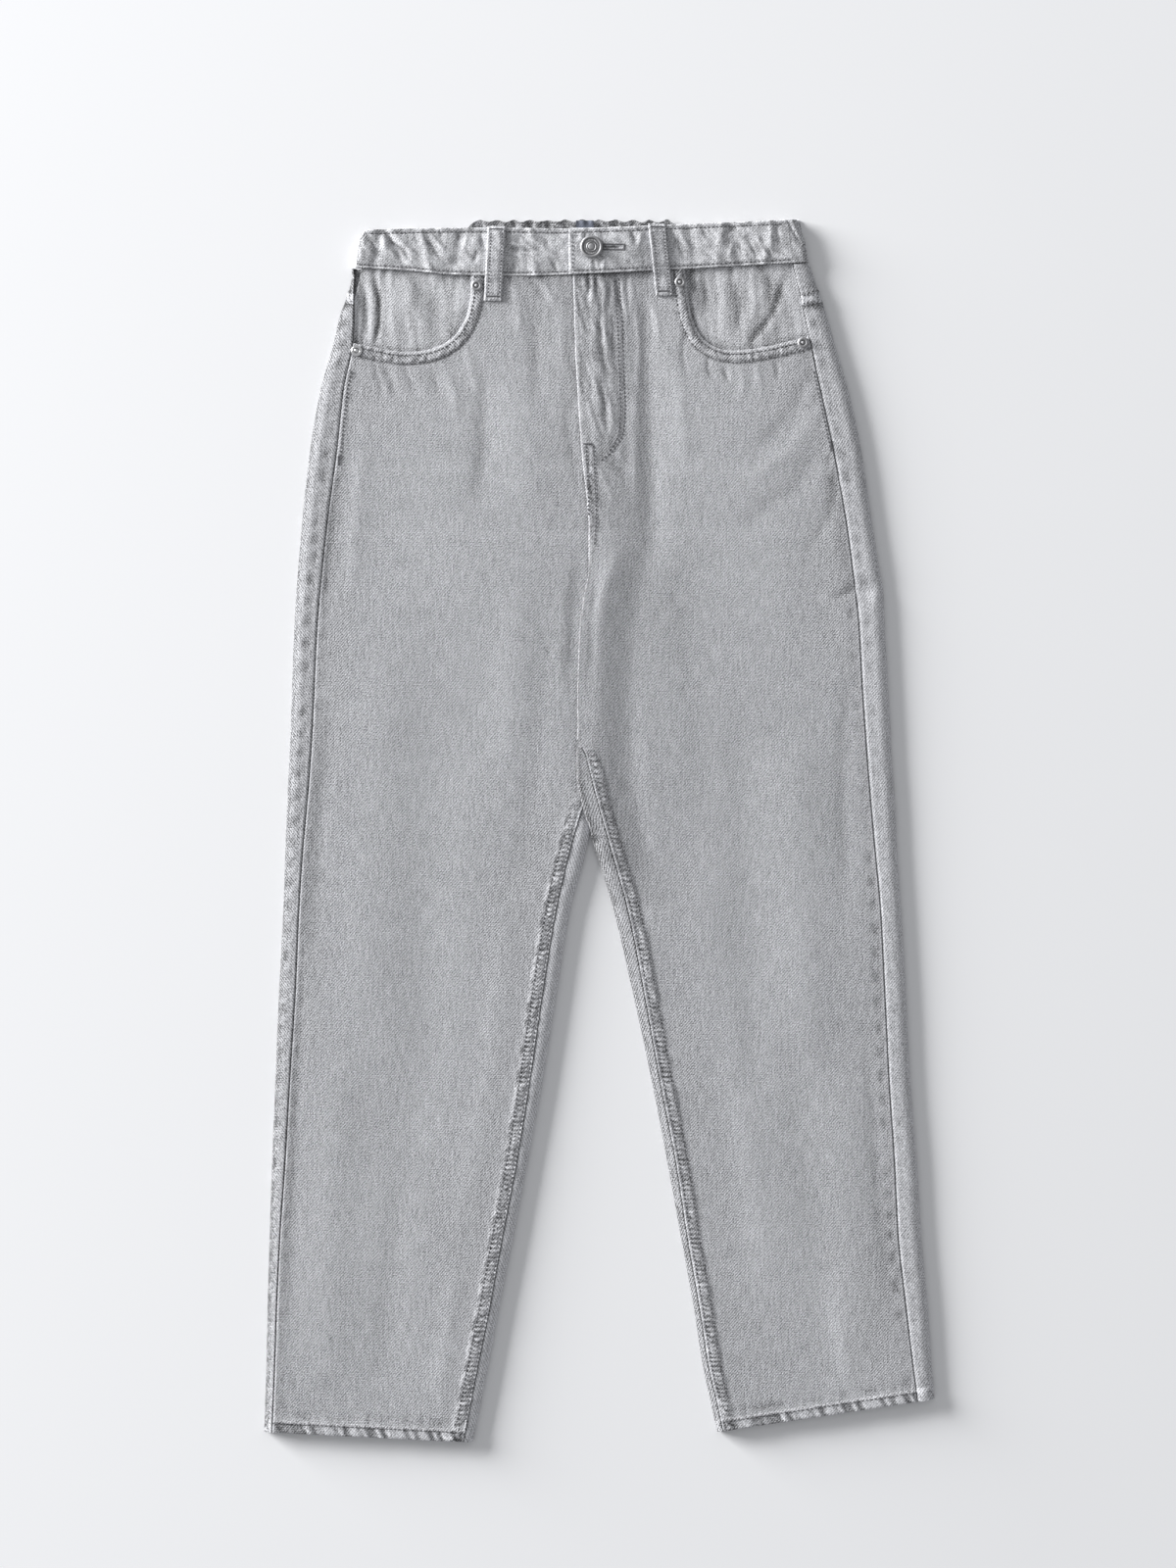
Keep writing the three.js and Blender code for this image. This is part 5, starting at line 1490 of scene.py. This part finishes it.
def buttonhole_stitching(material):
    x, y = BUTTON
    lines = []
    for off in (-2.0, 2.0):
        lines += zigzag((x + HOLE_EYE + 0.4, y + off), (HOLE_END + 0.6, y + off), 1.9, 0.62)
    lines += zigzag((HOLE_END + 1.6, y - 2.6), (HOLE_END + 1.6, y + 2.6), 2.0, 0.62)
    surface = height_on(band_surface("left"))
    return sewn("stitching_buttonhole", lines, surface, material, thick=0.3, lift=0.25)


def loop_stitching(side, material):
    low_x, high_x, bottom, width = FRONT_LOOPS[side]
    middle, edge = loop_line(low_x, high_x, bottom)
    ys = np.linspace(bottom + 5.5, edge - 2, 30)
    row, tack = width / 2 - LOOP_ROW, width / 2 - 1.5
    lines = [(along_y(middle, ys, off), 2.6) for off in (-row, row)]
    for y, wide, pitch in ((bottom + 3.4, 2.0, 0.75), (edge - 1.2, 1.6, 0.8)):
        lines += zigzag((middle(y) - tack, y), (middle(y) + tack, y), wide, pitch)
    return sewn(f"stitching_loop_{side}", lines, loop_height(side), material, lift=0.1)


def yoke_tab_stitching(side, material):
    """Rows of the yoke seam where it comes round to the front beside the outseam."""
    half = HALVES[side]
    y = 404 if side == "right" else 407
    xs = np.linspace(float(half.outseam(y)) + half.out, float(half.outer(y)) - half.out * 2, 8)
    lines = [(along_x(yoke_seam, xs, away), 2.6) for away in YOKE_ROWS]
    return sewn(f"stitching_yoke_{side}", lines, lambda x, y: face(half, x, y) + 0.4, material)


def under_stitching(side, material):
    """Rows on the underside, of the yoke and the seat. They lie in the cloth, flush with the floor."""
    out = HALVES[side].out
    xs = np.linspace(CENTRE + out * 2, float(HALVES[side].outer(395)) - out * 8, 60)
    lines = [(along_x(yoke_seam, xs, away), STITCH) for away in YOKE_ROWS]
    ys = np.linspace(360, 40, 60)
    lines += [(along_y(lambda y: CENTRE, ys, out * away), STITCH) for away in SEAT_ROWS]
    return sewn(f"stitching_under_{side}", lines, back_rise, material, lift=-0.05, down=True)


def pocket_stitching(side, material):
    middle = CENTRE + HALVES[side].out * POCKET.centre
    lines = []
    for inset in PATCH_ROWS:
        wide = POCKET.width / 2 - inset
        corner = wide - POCKET.taper
        half_line = [(-wide, POCKET.top - 2), (-corner, POCKET.corner + inset * 0.4)]
        whole = [*half_line, (0, POCKET.tip + inset * 1.05), *((-x, y) for x, y in half_line[::-1])]
        lines.append((shifted(whole, middle), STITCH))
    wide = POCKET.width / 2 - PATCH_ROWS[0]
    for down in (3, 14):
        lines.append(([(middle - wide, POCKET.top - down), (middle + wide, POCKET.top - down)], STITCH))
    flat = lambda x, y: np.full_like(x, 0.12)
    return sewn(f"stitching_pocket_{side}", lines, flat, material, lift=0.0, down=True)


def turned(name, place, profile, material, segments, wash):
    """A metal piece turned from a profile of radius and height, with a tone that goes by its radius."""
    angles = np.linspace(0, 2 * np.pi, segments, endpoint=False)
    rings = [(max(radius, 0.02), z) for radius, z in profile]
    points = np.array([(r * math.cos(a), r * math.sin(a), z) for r, z in rings for a in angles]) + place
    faces = []
    for k in range(len(rings) - 1):
        for j in range(segments):
            a, b = k * segments + j, k * segments + (j + 1) % segments
            faces.append((a, b, b + segments, a + segments))
    ends = range(segments), range(len(points) - segments, len(points))
    faces += [tuple(ends[0])[::-1], tuple(ends[1])]
    shade = np.repeat([wash(radius) for radius, _ in rings], segments)
    return mesh_of(name, points, faces, material, shade, smooth=40)


def button(material):
    foot, cap, r = BAND_FACE + GAP, BUTTON_CAP, BUTTON_RADIUS
    dome = [
        (0.6, 0), (0.15, 0.25), (0, 0.7), (0, 1.3), (0.25, 1.8), (0.9, 2.1), (1.6, 2.05), (2.0, 1.7),
        (2.3, 1.5), (3.4, 1.5), (4.4, 1.55), (4.7, 1.9), (5.1, 2.05), (5.5, 1.75), (5.8, 1.7), (6.1, 1.95),
        (7.0, 2.1), (r, 2.15),
    ]
    profile = [(0, foot), (3, foot), (3, cap)] + [(r - inset, cap + up) for inset, up in dome]
    grooves = ((2.2, 0.45, 0.5), (4.6, 0.4, 0.4), (5.8, 0.35, 0.4))
    wash = lambda radius: -sum(dark * bell(radius - r + inset, half) for inset, dark, half in grooves)
    return turned("button_metal", (*BUTTON, 0), profile, material, 96, wash)


def button_marks(material):
    """A plain ring of small raised bars between the button's two rims."""
    lines = []
    for angle in np.linspace(0, 2 * np.pi, 28, endpoint=False):
        way = np.array([math.cos(angle), math.sin(angle)])
        middle = np.array(BUTTON) + way * (BUTTON_RADIUS - 3.3)
        lines.append(([middle - way * 0.6, middle + way * 0.6], 1.2))
    flat = lambda x, y: np.full_like(x, BUTTON_CAP + 1.5)
    return sewn("button_marks", lines, flat, material, thick=0.2, cover=0.95)


def rivet(name, material):
    x, y = RIVETS[name]
    z = float(face(HALVES[name.split("_")[-1]], np.array(x), np.array(y))) + GAP
    r = RIVET_RADIUS
    rim = [(0, 0), (r - 0.3, 0), (r, 0.25), (r, 0.55), (r - 0.35, 0.95)]
    bowl = [
        (0.8, 1.2), (0.66, 1.25), (0.52, 1.05), (0.44, 0.75), (0.38, 0.7), (0.3, 1.0), (0.2, 1.3),
        (0.08, 1.4), (0, 1.4),
    ]
    profile = rim + [(share * r, up) for share, up in bowl]
    wash = lambda radius: -0.6 * bell(radius - 0.42 * r, 0.5)
    return turned(f"{name}_metal", (x, y, z), profile, material, 48, wash)


def label(material):
    """The folded end of a plain woven label, standing above the front band."""
    turn = np.sin(np.linspace(0, 1, 8) * math.pi / 2)
    ys = np.concatenate([np.linspace(452, 464, 8), 464.6 + 2 * turn])
    x, y = np.meshgrid(np.linspace(*LABEL_RUN, 28), ys)

    def surface(a, b):
        wave = np.sin(a * 0.9)
        rise = 0.35 * wave * smoothstep(b, 460, 466) - 0.25 * smoothstep(b, 465.5, 466.6)
        return 4.95 + rise, tones_of(0.10 * wave, 0.3)

    return flat_wall("label_cloth", material, x, y, surface, 0.4, None, (2, 2))


def nodes_of(name):
    material = bpy.data.materials.new(name)
    material.use_nodes = True
    tree = material.node_tree
    return material, tree, tree.nodes["Principled BSDF"]


def math_node(tree, operation, first, second=None):
    node = tree.nodes.new("ShaderNodeMath")
    node.operation = operation
    for socket, value in zip(node.inputs, (first, second)):
        if isinstance(value, (int, float)):
            socket.default_value = value
        elif value is not None:
            tree.links.new(value, socket)
    return node.outputs[0]


def vector_node(tree, operation, vector, other):
    node = tree.nodes.new("ShaderNodeVectorMath")
    node.operation = operation
    tree.links.new(vector, node.inputs[0])
    node.inputs[1].default_value = other
    return node.outputs


def attribute(tree, name, output="Fac"):
    node = tree.nodes.new("ShaderNodeAttribute")
    node.attribute_name = name
    return node.outputs[output]


def place_on(tree):
    return tree.nodes.new("ShaderNodeTexCoord").outputs["Object"]


def wave_along(tree, vector, direction):
    """A sine over the cloth in a direction, whose length is one over its pitch in millimetres."""
    turns = vector_node(tree, "DOT_PRODUCT", vector, [2 * math.pi * part for part in direction])
    return math_node(tree, "SINE", turns["Value"])


def noise_on(tree, vector, scale, detail=2.0, rough=0.5):
    """Noise over the cloth, from about -0.5 to 0.5; scale is one over the size of its cells."""
    node = tree.nodes.new("ShaderNodeTexNoise")
    set_values(node, {"Scale": 1, "Detail": detail, "Roughness": rough})
    tree.links.new(vector_node(tree, "MULTIPLY", vector, scale)["Vector"], node.inputs["Vector"])
    return math_node(tree, "SUBTRACT", node.outputs["Fac"], 0.5)


def set_values(node, values):
    for name, value in values.items():
        node.inputs[name].default_value = value


def total(tree, terms):
    """The sum of values, each times its share."""
    value = None
    for source, share in terms:
        part = math_node(tree, "MULTIPLY", source, share)
        value = part if value is None else math_node(tree, "ADD", value, part)
    return value


def paint(tree, shader, colour, terms, least=0.1):
    """The colour, lighter and darker by the sum of terms, but never darker than the least share."""
    tone = math_node(tree, "MAXIMUM", math_node(tree, "ADD", total(tree, terms), 1.0), least)
    scale = tree.nodes.new("ShaderNodeVectorMath")
    scale.operation = "SCALE"
    scale.inputs[0].default_value = colour
    tree.links.new(tone, scale.inputs["Scale"])
    tree.links.new(scale.outputs[0], shader.inputs["Base Color"])


def roughen(tree, shader, height, strength, distance):
    bump = tree.nodes.new("ShaderNodeBump")
    set_values(bump, {"Strength": strength, "Distance": distance})
    tree.links.new(height, bump.inputs["Height"])
    tree.links.new(bump.outputs[0], shader.inputs["Normal"])


def denim(name, colour, weave=0.42, speckle=2.6):
    material, tree, shader = nodes_of(name)
    cloth = attribute(tree, "cloth", "Vector")
    twill = wave_along(tree, cloth, (0.46, -0.40, 0))
    weft = wave_along(tree, cloth, (0.0, 0.62, 0))
    grain = noise_on(tree, cloth, (0.95, 0.95, 1), 1.0)
    slub = noise_on(tree, cloth, (0.55, 0.07, 1))
    patch = noise_on(tree, cloth, (0.16, 0.11, 1), 3.0, 0.6)
    broad = noise_on(tree, cloth, (0.018, 0.008, 1))
    faint = math_node(tree, "MULTIPLY", noise_on(tree, cloth, (0.3, 0.3, 1)), 1.6)
    lines = math_node(tree, "MULTIPLY", twill, math_node(tree, "ADD", 0.75, faint))
    blots = noise_on(tree, cloth, (0.42, 0.36, 1), 2.0, 0.6)
    blots = math_node(tree, "MULTIPLY", blots, attribute(tree, "fray"))
    turns = math_node(tree, "MULTIPLY", attribute(tree, "turns"), 2 * math.pi)
    bars = math_node(tree, "MULTIPLY", math_node(tree, "SINE", turns), attribute(tree, "bars"))
    wash = attribute(tree, "wash")
    sewing = [(bars, 1.0), (blots, 1.5)]
    weaving = [(lines, weave), (weft, 0.05), (grain, speckle), (slub, 0.80)]
    # Broad fading, and the wash and shade attribute, which holds painted light and shade as well as the
    # washed tone.
    faded_and_shaded = [(patch, 0.28), (broad, 0.26), (wash, 1.0)]
    paint(tree, shader, colour, sewing + weaving + faded_and_shaded, 0.12)
    roughen(tree, shader, total(tree, [(lines, 0.22), (grain, 1.3), (slub, 0.5)]), 0.55, 0.00035)
    set_values(shader, {"Roughness": 0.92, "Specular IOR Level": 0.25})
    set_values(shader, {"Sheen Weight": 0.12, "Sheen Roughness": 0.6})
    return material


def thread(name, colour):
    material, tree, shader = nodes_of(name)
    fuzz = noise_on(tree, place_on(tree), (1400, 1400, 1400), 1.0)
    paint(tree, shader, colour, [(attribute(tree, "wash"), 1.0), (fuzz, 0.5)])
    set_values(shader, {"Roughness": 0.8, "Sheen Weight": 0.1})
    return material


def metal(name, colour, roughness):
    material, tree, shader = nodes_of(name)
    tarnish = noise_on(tree, place_on(tree), (900, 900, 900), 3.0)
    paint(tree, shader, colour, [(attribute(tree, "wash"), 1.3), (tarnish, 0.5)])
    roughen(tree, shader, tarnish, 0.3, 0.0001)
    rough = math_node(tree, "ADD", math_node(tree, "MULTIPLY", tarnish, 0.3), roughness)
    tree.links.new(rough, shader.inputs["Roughness"])
    set_values(shader, {"Metallic": 1.0})
    return material


def floor_material():
    material, tree, shader = nodes_of("pale_floor")
    paint(tree, shader, (0.87, 0.875, 0.89), [(noise_on(tree, place_on(tree), (3, 3, 3)), 0.01)])
    set_values(shader, {"Roughness": 0.9, "Specular IOR Level": 0.1})
    return material


DENIM = denim("grey_denim", (0.400, 0.403, 0.420))
FACING_DENIM = denim("pocket_denim", (0.415, 0.418, 0.434))
BAND_DENIM = denim("band_denim", (0.415, 0.418, 0.434), 0.30)
THREAD = thread("grey_thread", (0.13, 0.13, 0.14))
NICKEL = metal("antique_nickel", (0.38, 0.38, 0.39), 0.58)
BRIGHT = metal("bright_nickel", (0.86, 0.86, 0.87), 0.22)
TAPE = denim("woven_tape", (0.11, 0.12, 0.15), 0.05, 0.4)


def settle(obj, nodes=()):
    """Rides the only body, and stands for its nodes."""
    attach(obj, "root")
    if nodes:
        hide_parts(*nodes)
    return obj


def dress_half(side):
    """The pieces of one half of the jeans, each with its sewing."""
    front_name, band_name = f"front_{side}", f"waistband_front_{side}"
    extras = [settle(front_stitching(side, THREAD))]
    panel = front(side, DENIM)
    if side == "left":
        extras.append(settle(fold_return(DENIM)))
    settle(panel, [front_name])
    extras = [settle(under_stitching(side, THREAD))]
    settle(back(side, DENIM), [f"back_{side}"])
    extras = [settle(yoke_tab_stitching(side, THREAD))]
    settle(yoke(side, DENIM), [f"yoke_{side}"])
    inside = facing(side, FACING_DENIM)
    settle(inside, [f"pocket_facing_{side}"])
    extras = [settle(pocket_stitching(side, THREAD))]
    settle(back_pocket(side, DENIM), [f"back_pocket_{side}"])
    extras = [settle(band_stitching(side, THREAD))]
    if side == "left":
        extras.append(settle(buttonhole_stitching(THREAD)))
    band = band_front(side, BAND_DENIM)
    settle(band, [band_name])
    extras = [settle(loop_stitching(side, THREAD))]
    loop = front_loop(side, DENIM)
    settle(loop, [f"loop_front_{side}"])


for side in HALVES:
    dress_half(side)
settle(band_back(BAND_DENIM), ["waistband_back"])
for name, ends in BACK_LOOPS.items():
    settle(back_loop(name, ends, DENIM), [name])
settle(label(TAPE), ["label"])
settle(button(NICKEL), ["button"])
settle(button_marks(NICKEL))
for name in RIVETS:
    settle(rivet(name, BRIGHT if name == "rivet_side_right" else NICKEL), [name])


def make_floor():
    mesh = bpy.data.meshes.new("floor")
    ways = ((-1, -1), (1, -1), (1, 1), (-1, 1))
    corners = [(x * FLOOR_REACH, y * FLOOR_REACH, FLOOR_LOW) for x, y in ways]
    mesh.from_pydata(corners, [], [(0, 1, 2, 3)])
    mesh.materials.append(floor_material())
    placed("floor", mesh)


def make_light():
    key = bpy.data.lights.new("key", "AREA")
    key.shape = "RECTANGLE"
    key.size, key.size_y = KEY_SIZE
    key.energy = KEY_POWER
    lamp = placed("key", key)
    lamp.location = KEY_PLACE
    lamp.rotation_euler = (-Vector(KEY_PLACE)).to_track_quat("-Z", "Y").to_euler()
    world = bpy.data.worlds.new("studio")
    world.use_nodes = True
    set_values(world.node_tree.nodes["Background"], {"Color": (0.97, 0.98, 1.0, 1), "Strength": FILL})
    bpy.context.scene.world = world


def make_camera():
    camera = bpy.data.cameras.new("camera")
    camera.lens = LENS
    camera.sensor_width = 36
    camera.sensor_height = 36
    camera.sensor_fit = "VERTICAL"
    eye = placed("camera", camera)
    eye.location = CAMERA_PLACE
    bpy.context.scene.camera = eye
    bpy.context.scene.view_settings.view_transform = "Standard"


make_floor()
make_light()
make_camera()
